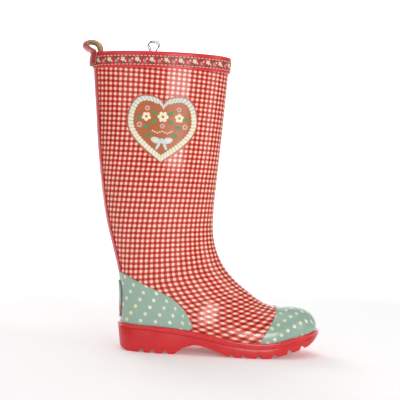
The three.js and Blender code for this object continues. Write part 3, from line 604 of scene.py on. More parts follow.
def plain_cloth(name, colour, count, rough=0.85, depth=0.5, sheen=0.15, uses="cloth", dark=0.8):
    """Woven or knitted cloth in one colour. count is threads to a millimetre of its map."""
    material, make, shader = principled(name, Sheen_Weight=sheen, Specular_IOR_Level=0.25)
    where = make.object_place()
    weave = make.group(WOVEN_THREADS, Map=make.map(uses), Count=count)
    tint = make.group(COLOUR_DRIFT, Place=where, Colour=colour, Amount=0.1, Scale=60.0)
    shaded = make.add("ShaderNodeHueSaturation")
    make.feed(shaded.inputs["Color"], tint["Colour"])
    make.feed(shaded.inputs["Value"], make.ramp(weave["Height"], 0.2, 0.95, dark, 1.05, smooth=False))
    make.feed(shader["Base Color"], shaded.outputs[0])
    make.feed(shader["Roughness"], make.ramp(weave["Height"], 0, 1, rough + 0.08, rough - 0.06, smooth=False))
    make.feed(shader["Normal"], make.bump(weave["Height"], depth, 0.0002))
    return material


def speckled(name, colour, scale, amount=0.3, rough=0.9, depth=0.4, metal=0.0):
    """Foam, board, cork or metal: a colour with grains of the given scale."""
    material, make, shader = principled(name, Metallic=metal)
    where = make.object_place()
    grains = make.noise(where, scale, 4, 0.7)
    tint = make.group(COLOUR_DRIFT, Place=where, Colour=colour, Amount=amount, Scale=float(scale))
    make.feed(shader["Base Color"], tint["Colour"])
    make.feed(shader["Roughness"], make.ramp(grains, 0.3, 0.7, rough - 0.1, rough))
    make.feed(shader["Normal"], make.bump(grains, depth, 0.0003))
    return material


def printed_blossom():
    """A flat printed flower: where it covers, and its round heart. Map is in millimetres."""
    tree, make, given, out = shader_group("printed_blossom",
                                          [("Map", "place", None), ("Across", "value", 0.0),
                                           ("Up", "value", 0.0),
                                           ("Radius", "value", 2.5), ("Petals", "value", 5.0),
                                           ("Spin", "value", 0.0)],
                                          [("Mask", "value"), ("Heart", "value")])
    x, y, _ = make.parts(given["Map"])
    dx, dy = make.sum("SUBTRACT", x, given["Across"]), make.sum("SUBTRACT", y, given["Up"])
    far = make.sum("SQRT", make.sum("ADD", make.sum("MULTIPLY", dx, dx), make.sum("MULTIPLY", dy, dy)))
    angle = make.sum("ADD", make.sum("ARCTAN2", dy, dx), given["Spin"])
    wave = make.sum("MULTIPLY", make.sum("COSINE", make.sum("MULTIPLY", angle, given["Petals"])), 0.22)
    edge = make.sum("MULTIPLY", given["Radius"], make.sum("ADD", 0.8, wave))
    make.feed(out["Mask"], make.ramp(make.sum("SUBTRACT", far, edge), 0.16, -0.16, 0.0, 1.0))
    make.feed(out["Heart"], make.ramp(make.sum("SUBTRACT", far, make.sum("MULTIPLY", given["Radius"], 0.3)),
                                      0.14, -0.14, 0.0, 1.0))
    return tree


def printed_leaf():
    """A flat printed leaf, pointed at both ends. Map is in millimetres."""
    tree, make, given, out = shader_group("printed_leaf",
                                          [("Map", "place", None), ("Across", "value", 0.0),
                                           ("Up", "value", 0.0),
                                           ("Length", "value", 7.0), ("Width", "value", 3.0),
                                           ("Spin", "value", 0.0)],
                                          [("Mask", "value")])
    x, y, _ = make.parts(given["Map"])
    dx, dy = make.sum("SUBTRACT", x, given["Across"]), make.sum("SUBTRACT", y, given["Up"])
    c, s = make.sum("COSINE", given["Spin"]), make.sum("SINE", given["Spin"])
    along = make.sum("ADD", make.sum("MULTIPLY", dx, c), make.sum("MULTIPLY", dy, s))
    aside = make.sum("SUBTRACT", make.sum("MULTIPLY", dy, c), make.sum("MULTIPLY", dx, s))
    share = make.sum("DIVIDE", along, make.sum("MULTIPLY", given["Length"], 0.5))
    room = make.sum("SUBTRACT", 1.0, make.sum("MULTIPLY", share, share))
    edge = make.sum("MULTIPLY", make.sum("MULTIPLY", given["Width"], 0.5), room)
    make.feed(out["Mask"], make.ramp(make.sum("SUBTRACT", make.sum("ABSOLUTE", aside), edge), 0.18, -0.18, 0,
                                     1))
    return tree


PRINTED_BLOSSOM = printed_blossom()
PRINTED_LEAF = printed_leaf()
RIBBON_REPEAT = 57.0


def flowered_ribbon():
    """Red cloth ribbon printed with brown leaves, cream star flowers, pink roses and small white buds."""
    material, make, shader = principled("flowered_ribbon", Coat_Weight=0.35, Coat_Roughness=0.2,
                                        Specular_IOR_Level=0.35)
    cloth = make.map("ribbon")
    x, y, _ = make.parts(cloth)
    turned = make.sum("MULTIPLY", make.sum("FRACT", make.sum("DIVIDE", x, RIBBON_REPEAT)), RIBBON_REPEAT)
    place = make.add_fed("ShaderNodeCombineXYZ", turned, y).outputs[0]
    where = make.object_place()
    base = make.group(COLOUR_DRIFT, Place=where, Colour=rgb(206, 34, 44), Amount=0.14, Scale=90.0)["Colour"]
    brown, faded = rgb(122, 72, 48), rgb(138, 96, 70)
    # six even places, turn about above and below the middle, each a flower on two leaves with a bud beside it
    places = [((k + 0.5) * RIBBON_REPEAT / 6, 1 - 2 * (k % 2)) for k in range(6)]
    for across, side in places:
        for up, length, width, spin, tone in ((-2.9 * side, 8.6, 4.8, 0.3 * side, brown),
                                              (3.8 * side, 8.2, 3.8, -0.4 * side, faded)):
            leaf = make.group(PRINTED_LEAF, Map=place, Across=across, Up=up, Length=length, Width=width,
                              Spin=spin)
            base = make.blend(leaf["Mask"], base, tone)
    cream, pink, white = rgb(250, 234, 200), rgb(240, 150, 158), rgb(250, 240, 236)
    for across, side in places:
        flower = (3.3, 5, cream, rgb(236, 206, 150)) if side > 0 else (2.5, 8, pink, rgb(204, 70, 84))
        for x_off, up, (radius, petals, tone, heart) in ((0.0, 0.9 * side, flower),
                                                         (3.3, -1.6 * side, (1.3, 5, white, cream))):
            bloom = make.group(PRINTED_BLOSSOM, Map=place, Across=across + x_off, Up=up, Radius=radius,
                               Petals=petals,
                               Spin=0.3)
            base = make.blend(bloom["Mask"], base, tone)
            base = make.blend(bloom["Heart"], base, heart)
    weave = make.group(WOVEN_THREADS, Map=cloth, Count=2.2)
    shaded = make.add("ShaderNodeHueSaturation")
    make.feed(shaded.inputs["Color"], base)
    make.feed(shaded.inputs["Value"], make.ramp(weave["Height"], 0.2, 0.95, 0.9, 1.04, smooth=False))
    make.feed(shader["Base Color"], shaded.outputs[0])
    make.feed(shader["Roughness"], make.ramp(weave["Height"], 0, 1, 0.62, 0.48, smooth=False))
    make.feed(shader["Normal"], make.bump(weave["Height"], 0.35, 0.0002))
    return material


def twisted_thread():
    """Thick sewing thread with its plies running aslant."""
    material, make, shader = principled("cream_twisted_thread", Sheen_Weight=0.2, Specular_IOR_Level=0.3)
    run = make.map("thread")
    x, y, _ = make.parts(run)
    ply = make.sum("SINE", make.sum("MULTIPLY", make.sum("ADD", make.sum("MULTIPLY", x, 2.2), y), 6.2832))
    lift = make.ramp(ply, -1, 1, 0, 1)
    tint = make.group(COLOUR_DRIFT, Place=make.object_place(), Colour=rgb(250, 232, 212), Amount=0.1,
                      Scale=200.0)
    # the grooves between the plies take a darker colour: painted shade
    make.feed(shader["Base Color"], make.blend(lift, rgb(226, 196, 176), tint["Colour"]))
    make.feed(shader["Roughness"], make.ramp(lift, 0, 1, 0.85, 0.6))
    make.feed(shader["Normal"], make.bump(lift, 0.5, 0.0002))
    return material


def gingerbread():
    """Baked brown surface with fine crumbs."""
    material, make, shader = principled("gingerbread_print", Coat_Weight=0.3, Coat_Roughness=0.2)
    where = make.object_place()
    crumbs = make.noise(where, 900, 3, 0.7)
    tint = make.group(COLOUR_DRIFT, Place=where, Colour=rgb(188, 100, 48), Amount=0.14, Scale=160.0)
    colour = make.blend(make.ramp(crumbs, 0.56, 0.7), tint["Colour"], rgb(160, 80, 38))
    make.feed(shader["Base Color"], colour)
    make.feed(shader["Roughness"], make.ramp(crumbs, 0.3, 0.7, 0.5, 0.66))
    make.feed(shader["Normal"], make.bump(crumbs, 0.25, 0.0002))
    return material


def piped_icing(name, colour, rough=0.5):
    """Sugar icing: smooth, slightly uneven."""
    material, make, shader = principled(name, Coat_Weight=0.25, Coat_Roughness=0.25)
    where = make.object_place()
    tint = make.group(COLOUR_DRIFT, Place=where, Colour=colour, Amount=0.09, Scale=240.0)
    grain = make.group(RUBBER_GRAIN, Place=where, Peel=0.8, Wave=0.4)
    make.feed(shader["Base Color"], tint["Colour"])
    make.feed(shader["Roughness"], make.ramp(grain["Dull"], 0, 1, rough, rough + 0.12, smooth=False))
    make.feed(shader["Normal"], make.bump(grain["Height"], 0.3, 0.0004))
    return material


def ribbed_icing():
    """Piped icing border: painted shade between its ribs, paler and bluer over the top of the heart."""
    material, make, shader = principled("ribbed_icing_border", Coat_Weight=0.2, Coat_Roughness=0.25)
    where = make.object_place()
    run, _, _ = make.parts(make.map("ribs"))
    rib = make.sum("ABSOLUTE", make.sum("SINE", make.sum("MULTIPLY", run, math.pi)))
    _, _, z = make.parts(where)
    top = make.ramp(z, 0.306, 0.334, 0.0, 1.0)
    crest = make.blend(top, rgb(248, 240, 216), rgb(228, 232, 220))
    # the valleys between the ribs take a darker colour: painted shade
    valley_shade = make.blend(top, rgb(206, 206, 184), rgb(180, 190, 182))
    colour = make.blend(make.ramp(rib, 0.05, 0.6), valley_shade, crest)
    tint = make.group(COLOUR_DRIFT, Place=where, Colour=colour, Amount=0.1, Scale=260.0)
    grain = make.group(RUBBER_GRAIN, Place=where, Peel=0.8, Wave=0.4)
    make.feed(shader["Base Color"], tint["Colour"])
    make.feed(shader["Roughness"], make.ramp(grain["Dull"], 0, 1, 0.5, 0.62, smooth=False))
    make.feed(shader["Normal"], make.bump(grain["Height"], 0.3, 0.0004))
    return material


def plated_wire(name, colour, rough, metal=1.0, coat=0.0):
    """Drawn wire or enamelled sheet, with fine scratches along it."""
    material, make, shader = principled(name, Metallic=metal, Coat_Weight=coat, Coat_Roughness=0.08)
    where = make.object_place()
    scratch = make.noise(where, 1400, 3, 0.7)
    tint = make.group(COLOUR_DRIFT, Place=where, Colour=colour, Amount=0.06, Scale=300.0)
    make.feed(shader["Base Color"], tint["Colour"])
    make.feed(shader["Roughness"], make.ramp(scratch, 0.35, 0.7, rough, rough + 0.14))
    make.feed(shader["Normal"], make.bump(scratch, 0.08, 0.0001))
    return material


def cover_cloth():
    """Tufted cloth on the footbed, woven square to the boot."""
    material, make, shader = principled("footbed_cover_cloth", Sheen_Weight=0.2, Specular_IOR_Level=0.2)
    where = make.object_place()
    scaled = make.add("ShaderNodeVectorMath", operation="SCALE")
    make.feed(scaled.inputs[0], where)
    scaled.inputs["Scale"].default_value = 1000
    weave = make.group(WOVEN_THREADS, Map=scaled.outputs[0], Count=0.9)
    tint = make.group(COLOUR_DRIFT, Place=where, Colour=rgb(226, 205, 180), Amount=0.12, Scale=60.0)
    # the low parts of the weave blend to a darker brown: painted shade between the threads
    make.feed(shader["Base Color"], make.blend(make.ramp(weave["Height"], 0.1, 0.8), rgb(176, 152, 126),
                                               tint["Colour"]))
    make.feed(shader["Roughness"], make.ramp(weave["Height"], 0, 1, 0.98, 0.86, smooth=False))
    make.feed(shader["Normal"], make.bump(weave["Height"], 0.5, 0.0003))
    return material


def badge_rubber():
    """Plain moulded label: grey above, dusty red below."""
    material, make, shader = principled("heel_badge_rubber", Coat_Weight=0.4, Coat_Roughness=0.15)
    where = make.object_place()
    _, _, z = make.parts(where)
    lower = make.ramp(z, 0.0615, 0.0605, 0.0, 1.0)
    colour = make.blend(lower, rgb(128, 142, 138), rgb(186, 92, 98))
    tint = make.group(COLOUR_DRIFT, Place=where, Colour=colour, Amount=0.1, Scale=60.0)
    grain = make.group(RUBBER_GRAIN, Place=where, Peel=0.6, Wave=0.4)
    make.feed(shader["Base Color"], tint["Colour"])
    make.feed(shader["Roughness"], make.ramp(grain["Dull"], 0, 1, 0.38, 0.5, smooth=False))
    make.feed(shader["Normal"], make.bump(grain["Height"], 0.25, 0.0005))
    return material


SOLE_RED = gloss_rubber("red_sole_rubber", rgb(216, 14, 22), rough=0.4, coat=0.25, peel=0.8, drift=0.09)
FOXING_RED = gloss_rubber("red_foxing_rubber", rgb(218, 16, 24), rough=0.26, coat=0.5, drift=0.08)
STRAP_RED = gloss_rubber("red_back_strap_rubber", rgb(202, 26, 38), rough=0.3, coat=0.45, peel=0.1, wave=0.3)
BAND_RED = gloss_rubber("red_rim_band_rubber", rgb(222, 34, 50), rough=0.32, coat=0.35)
LOOP_RED = gloss_rubber("red_loop_rubber", rgb(176, 40, 46), rough=0.4, coat=0.2, peel=1.0)
GINGHAM = gingham_under_gloss()
MINT = mint_with_dots("mint_heel_rubber_with_dots", 20.0, 9.3, 6.4)
TOE_MINT = mint_with_dots("mint_toe_rubber_with_dots", 21.97, 7.19, 8.57)
RIBBON = flowered_ribbon()
THREAD = twisted_thread()
GINGERBREAD = gingerbread()
ICING = piped_icing("cream_piped_icing", rgb(240, 232, 212))
ICING_RIBS = ribbed_icing()
BOW = piped_icing("pale_bow_icing", rgb(214, 222, 216), 0.45)
LEAF = piped_icing("green_leaf_icing", rgb(72, 148, 92), 0.45)
STAR = piped_icing("cream_flower_icing", rgb(252, 238, 202), 0.5)
ROSE = piped_icing("pink_rose_icing", rgb(222, 176, 168), 0.5)
LINING = plain_cloth("cream_lining_knit", rgb(232, 220, 198), 1.1, depth=0.6)
LOOP_COTTON = plain_cloth("loop_cotton_facing", rgb(232, 216, 176), 1.4, depth=0.6, uses="loop")
BADGE = badge_rubber()
WIRE = plated_wire("plated_handle_wire", rgb(104, 106, 108), 0.2)
ENAMEL = plated_wire("black_clip_enamel", rgb(28, 29, 31), 0.28, metal=0.0, coat=0.7)


# ---------- upper and lining ----------
# printed cloth, by ring: checks down, their slope, checks across and their width, 80 mm round from the front
CHECK_RINGS = [0, 1, 2, 3, 4, 5, 6, 7, 8, 9, 10, 11, 12, 13, 14, 19]
CHECKS_DOWN = [-37.4, -28.44, -19.04, -10.13, -1.57, 3.5, 8.24, 12.73, 16.86, 20.59, 23.98, 26.47, 28.93,
               31.16,
               33.26, 43.8]
CHECKS_SLOPE = [1.2, 1.15, 0.81, 0.8, 0.86, 1.08, 1.7, 1.99, 1.77, 1.73, 1.95, 2.23, 2.68, 3.24, 3.82, 4.2]
CHECKS_ACROSS = [-1.2, -1.19, -1.06, -0.84, -0.38, -0.26, -0.08, 0.51, 1.47, 1.73, 1.29, 0.44, -0.25, -0.84,
                 -1.15,
                 -1.3]
CHECKS_PER_100 = [-13.8, -14.09, -14.61, -14.94, -15.04, -14.97, -14.72, -13.97, -12.82, -11.93, -11.72,
                  -12.11,
                  -12.72, -13.37, -14.02, -14.5]


def rows_from_rim(stations, turn, drop=0.0):
    """Ring numbers for a grid whose first row lies a given drop under the rim."""
    start = ring_below_rim(drop, turn)[None, :]
    base = stations[:, None]
    fade = np.clip(1 - (base - stations[0]) / 1.3, 0, 1)
    return base + (start - stations[0]) * fade


def around(count):
    """Places round a ring, starting at the back seam."""
    return -np.pi + 2 * np.pi * np.arange(count) / count


def check_map(v, turn):
    """Where each place falls on the printed cloth, counted in checks from the front middle line."""
    fine = np.linspace(0, np.pi, 121)
    length = np.zeros(v.shape)
    flat_v, flat_t = v.ravel(), np.abs(turn.ravel())
    ring = last_point(flat_v[:, None], fine[None, :])
    steps = np.linalg.norm(np.diff(ring, axis=1), axis=-1)
    total = np.concatenate([np.zeros((len(flat_v), 1)), np.cumsum(steps, 1)], 1)
    place = flat_t / np.pi * 120
    i = np.minimum(place.astype(int), 119)
    rows = np.arange(len(flat_v))
    length = total[rows, i] + (total[rows, i + 1] - total[rows, i]) * (place - i)
    outer_side = -length.reshape(v.shape) * np.sign(turn)

    def by_ring(numbers):
        return side_line(np.column_stack([CHECK_RINGS, numbers]), v)
    across = by_ring(CHECKS_ACROSS) + by_ring(CHECKS_PER_100) * (outer_side - 80) / 100
    down = by_ring(CHECKS_DOWN) + by_ring(CHECKS_SLOPE) * (np.hypot(outer_side, 14) - 80) / 100
    return np.stack([across + 0.5, down + 0.5], -1)


def make_upper():
    turn = np.linspace(-np.pi, np.pi, 145)
    stations = np.concatenate([np.linspace(0.8, 5, 50), np.linspace(5, 11, 50)[1:],
                               np.linspace(11, 18.97, 60)[1:]])
    v = rows_from_rim(stations, turn)
    turns = np.broadcast_to(turn, v.shape)
    layer_piece("upper_skin", v, turns, -2.0, 0.0, GINGHAM, {"checks": check_map(v, turns)},
                slot="upper_rubber", replaces=["upper"])


def make_lining():
    turn = np.linspace(-np.pi, np.pi, 97)
    stations = np.concatenate([np.linspace(0.8, 5, 36), np.linspace(5, 18.9, 80)[1:]])
    v = rows_from_rim(stations, turn)
    turns = np.broadcast_to(turn, v.shape)
    deep = np.interp(v, [4.1, 4.8], [0, 1])
    outside = -2.3 - 1.9 * deep
    cloth = np.stack([arc_steps(last_point(v, turns)), v * 30], -1)
    layer_piece("lining_sock", v, turns, outside - 0.9, outside, LINING, {"cloth": cloth}, reach=0.22,
                slot="lining_knit", replaces=["lining"])


# ---------- mint skins, badge and back strap ----------
SOLE_ROWS = np.linspace(9.0, 18.99, 300)
SOLE_TURNS = sole_turn(SOLE_ROWS)


def sole_turn_at(v):
    return np.interp(v, SOLE_ROWS, SOLE_TURNS)


def make_toe_cap():
    share = np.linspace(-1, 1, 73)

    def behind(v):
        p = last_point(v, share * sole_turn_at(v))
        return line_side(CAP_LINE, p[..., 0], p[..., 2]) < 0
    start = where_on(behind, np.full(73, 12.0), np.full(73, 18.0))
    step = np.linspace(0, 1, 52)[:, None]
    v = start[None, :] + (18.93 - start[None, :]) * step
    turns = share[None, :] * sole_turn_at(v)
    p = last_point(v, turns)
    flat = np.stack([p[..., 0], arc_steps(p) - arc_steps(p)[:, 36:37]], -1)
    c, s = math.cos(0.0775), math.sin(0.0775)
    dots = flat @ np.array([[c, s], [-s, c]])
    layer_piece("toe_cap_skin", v, turns, 0.3, 1.3, TOE_MINT, {"dots": dots}, edge=0.4,
                slot="mint_rubber", replaces=["toe_cap"])


HEEL_ROW = float(where_on(
    lambda v: last_point(v, np.pi)[..., 2] > side_line(SOLE_TOP, last_point(v, np.pi)[..., 0]) + 0.3,
    np.array([8.0]), np.array([11.0]))[0])
COUNTER_BACK = float(where_on(
    lambda v: line_side(COUNTER_LINE, *last_point(v, np.array([np.pi]))[..., [0, 2]].T) > 0,
    np.array([5.5]), np.array([9.0]))[0])


def counter_edge(count):
    """Ring numbers and turns along the heel counter's edge, from the middle of the back down to the sole."""
    back_x = last_point(COUNTER_BACK, np.pi)[0]
    line = COUNTER_LINE[COUNTER_LINE[:, 0] > back_x + 0.02]
    line = line[line[:, 1] > side_line(SOLE_TOP, line[:, 0]) + 0.3]
    v, turn, places = COUNTER_BACK, np.pi - 0.08, [(COUNTER_BACK, np.pi)]
    for x, z in line:
        v, turn = (float(a) for a in places_for(np.array(x), np.array(z), [0, 2], v, turn, steps=14))
        places.append((v, turn))
    places = np.array(places)
    p = last_point(places[:, 0], places[:, 1])
    run = np.concatenate([[0], np.cumsum(np.linalg.norm(np.diff(p, axis=0), axis=1))])
    at = np.linspace(0, run[-1], count)
    return np.interp(at, run, places[:, 0]), np.interp(at, run, places[:, 1])


def make_heel_counter():
    half = 70
    edge_v, edge_turn = counter_edge(half)
    corner_v = edge_v[-1]
    foot_v = HEEL_ROW + (corner_v - HEEL_ROW) * np.linspace(0, 1, half) ** 1.1
    foot_turn = np.where(np.arange(half) == 0, np.pi, sole_turn_at(foot_v))
    step = np.linspace(0, 1, 44)[:, None]
    keep = slice(0, half - 2)
    v = edge_v[keep] + (foot_v[keep] - edge_v[keep]) * step
    turn = edge_turn[keep] + (foot_turn[keep] - edge_turn[keep]) * step
    v = np.hstack([v[:, :0:-1], v])
    turns = np.hstack([2 * np.pi - turn[:, :0:-1], turn])
    p = last_point(v, turns)
    middle = arc_steps(p) - arc_steps(p)[:, half - 3:half - 2]
    dots = np.stack([middle + 4, -p[..., 2]], -1)
    layer_piece("heel_counter_skin", v, turns, 0.3, 1.3, MINT, {"dots": dots}, edge=0.4,
                slot="mint_rubber", replaces=["heel_counter"])


def make_back_strap():
    share = np.linspace(-1, 1, 15)
    stations = np.linspace(0, 1, 70)[:, None]
    v = 1.2 + 5.7 * stations * np.ones(15)[None, :]
    for _ in range(3):
        def wide(turn):
            p = last_point(v, turn)
            return np.abs(p[..., 1] - ring_values(v)[..., 8]) > 13.0 * np.abs(share)
        turn = where_on(wide, np.full(v.shape, np.pi / 2), np.full(v.shape, np.pi))
        top = ring_below_rim(20.4, turn[0])
        bottom = np.full(15, COUNTER_BACK - 0.02)
        v = top[None, :] + (bottom - top)[None, :] * stations
    turns = np.where(share < 0, 2 * np.pi - turn, turn)
    layer_piece("back_strap_strip", v, turns, 0.3, 1.5, STRAP_RED, edge=0.45, slot="red_strip_rubber",
                replaces=["back_strap"])


def places_for(first, second, axes, v0, turn0, steps=30):
    """Ring numbers and turns of the places whose two chosen coordinates are the ones given."""
    v, turn = np.full(np.shape(first), float(v0)), np.full(np.shape(first), float(turn0))
    goal = np.stack([first, second], -1)
    for _ in range(steps):
        here = last_point(v, turn)[..., axes]
        dv = (last_point(v + 1e-3, turn)[..., axes] - here) / 1e-3
        dt = (last_point(v, turn + 1e-3)[..., axes] - here) / 1e-3
        miss = goal - here
        det = dv[..., 0] * dt[..., 1] - dv[..., 1] * dt[..., 0]
        det = np.where(np.abs(det) < 1e-6, 1e-6, det)
        step_v = (miss[..., 0] * dt[..., 1] - miss[..., 1] * dt[..., 0]) / det
        step_t = (dv[..., 0] * miss[..., 1] - dv[..., 1] * miss[..., 0]) / det
        v = v + np.clip(step_v, -0.5, 0.5)
        turn = turn + np.clip(step_t, -0.3, 0.3)
    return v, turn


def disc_grid(outline, centre, rings):
    """A star-shaped outline filled with rings of points: the middle, then outwards."""
    share = np.linspace(0, 1, rings + 1)[1:, None, None]
    return centre + (outline[None] - centre) * share


def disc_solid(top, bottom, top_middle, bottom_middle):
    """Points and faces of a thin closed disc made of rings round a middle point."""
    rings, count = top.shape[:2]
    points = np.vstack([top.reshape(-1, 3), bottom.reshape(-1, 3), [top_middle], [bottom_middle]])
    size = rings * count
    ids = np.arange(size).reshape(rings, count)
    faces = []
    for i in range(count):
        k = (i + 1) % count
        for j in range(rings - 1):
            faces.append((ids[j, i], ids[j + 1, i], ids[j + 1, k], ids[j, k]))
            faces.append((ids[j, k] + size, ids[j + 1, k] + size, ids[j + 1, i] + size, ids[j, i] + size))
        faces.append((ids[-1, i], ids[-1, i] + size, ids[-1, k] + size, ids[-1, k]))
        faces.append((2 * size, ids[0, i], ids[0, k]))
        faces.append((2 * size + 1, ids[0, k] + size, ids[0, i] + size))
    return points, faces


def volume_of(points, faces):
    total = 0.0
    for f in faces:
        for i in range(1, len(f) - 1):
            total += np.dot(points[f[0]], np.cross(points[f[i]], points[f[i + 1]]))
    return total


def laid_disc(outline, centre, low, high, rings, axes, v0, turn0, dome=0.0):
    """Points and faces of a flat shape laid on the boot between two heights; dome lifts its middle."""
    grid = disc_grid(outline, centre, rings)
    share = np.linspace(0, 1, rings + 1)[1:, None] * np.ones(len(outline))
    v, turn = places_for(grid[..., 0], grid[..., 1], axes, v0, turn0)
    mid_v, mid_turn = places_for(np.array(centre[0]), np.array(centre[1]), axes, v0, turn0)
    top = skin(v, turn, high + dome * (1 - share**2))
    bottom = skin(v, turn, low + 0 * share)
    points, faces = disc_solid(top, bottom, skin(mid_v, mid_turn, high + dome), skin(mid_v, mid_turn, low))
    if volume_of(points, faces) < 0:
        faces = [f[::-1] for f in faces]
    return points, faces


def joined(parts):
    """Several sets of points and faces as one."""
    points, faces, start = [], [], 0
    for p, f in parts:
        points.append(p)
        faces.extend(tuple(int(i) + start for i in face) for face in f)
        start += len(p)
    return np.vstack(points), faces


def make_heel_badge():
    a = 2 * np.pi * np.arange(72) / 72
    c, s = np.cos(a), np.sin(a)
    outline = np.stack([np.sign(c) * np.abs(c) ** 0.6 * 12, 67 + np.sign(s) * np.abs(s) ** 0.6 * 25], -1)
    outline[:, 0] -= 1.0
    points, faces = laid_disc(outline, np.array([-1.0, 67.0]), 1.6, 3.1, 9, [1, 2], 8.3, np.pi, dome=0.1)
    piece("heel_badge_label", points, faces, BADGE, bevel=0.5, slot="badge_rubber", replaces=["heel_badge"])


# ---------- heart on the lateral side of the leg ----------
HEART_X, HEART_Z, HEART_HALF_WIDE, HEART_HALF_TALL = 41.0, 295.8, 46.2, 44.4
ON_LEG = dict(axes=[0, 2], v0=2.6, turn0=-1.6)


def bezier(a, b, c, d, count):
    t = np.linspace(0, 1, count, endpoint=False)[:, None]
    a, b, c, d = (np.array(p, float) for p in (a, b, c, d))
    return a * (1 - t)**3 + 3 * b * t * (1 - t)**2 + 3 * c * t * t * (1 - t) + d * t**3


def heart_outline(count=320):
    w, h = HEART_HALF_WIDE, HEART_HALF_TALL
    right = np.vstack([bezier((0, -1.04 * h), (.34 * w, -.74 * h), (w, -.36 * h), (w, .2 * h), 60),
                       bezier((w, .2 * h), (w, .62 * h), (.82 * w, .96 * h), (.5 * w, .96 * h), 50),
                       bezier((.5 * w, .96 * h), (.26 * w, .96 * h), (.06 * w, .86 * h), (0, .7 * h), 40),
                       [[0, .7 * h]]])
    loop = np.vstack([right, right[-2:0:-1] * [-1, 1]])
    closed = np.vstack([loop, loop[:1]])
    run = np.concatenate([[0], np.cumsum(np.linalg.norm(np.diff(closed, axis=0), axis=1))])
    at = np.linspace(0, run[-1], count, endpoint=False)
    return np.stack([np.interp(at, run, closed[:, k]) for k in (0, 1)], -1), at, run[-1]


def on_heart(local):
    return np.asarray(local, float) + [HEART_X, HEART_Z]


def egg(x, y, long, wide, turn=0.0, point=0.0, count=28):
    """An oval, drawn to a point at one end as point goes to 1."""
    a = 2 * np.pi * np.arange(count) / count
    u, w = long / 2 * np.cos(a), wide / 2 * np.sin(a) * (1 - point * 0.5 * (1 + np.cos(a)))
    c, s = math.cos(turn), math.sin(turn)
    return np.stack([x + u * c - w * s, y + u * s + w * c], -1), (x, y)


def leaf_shape(x, y, long, wide, turn):
    a = 2 * np.pi * np.arange(28) / 28
    u, w = long / 2 * np.cos(a), wide / 2 * np.sin(a) * np.abs(np.sin(a)) ** 0.5
    c, s = math.cos(turn), math.sin(turn)
    return np.stack([x + u * c - w * s, y + u * s + w * c], -1), (x, y)


def petalled(x, y, radius, petals, deep=0.3, turn=0.0, count=84):
    a = 2 * np.pi * np.arange(count) / count
    r = radius * (1 - deep + deep * np.abs(np.cos(a * petals / 2)) ** 0.7)
    return np.stack([x + r * np.cos(a + turn), y + r * np.sin(a + turn)], -1), (x, y)


def squarish(x, y, size, turn=0.0, count=48):
    a = 2 * np.pi * np.arange(count) / count
    r = size / 2 * (1.06 + 0.14 * np.cos(4 * a))
    return np.stack([x + r * np.cos(a + turn), y + r * np.sin(a + turn)], -1), (x, y)


def heart_trims(name, shapes, low, high, material, dome=0.15, rings=4):
    parts = []
    for outline, centre in shapes:
        parts.append(laid_disc(on_heart(outline), on_heart(centre), low, high, rings, dome=dome, **ON_LEG))
    points, faces = joined(parts)
    piece(name, points, faces, material, slot="heart_print")


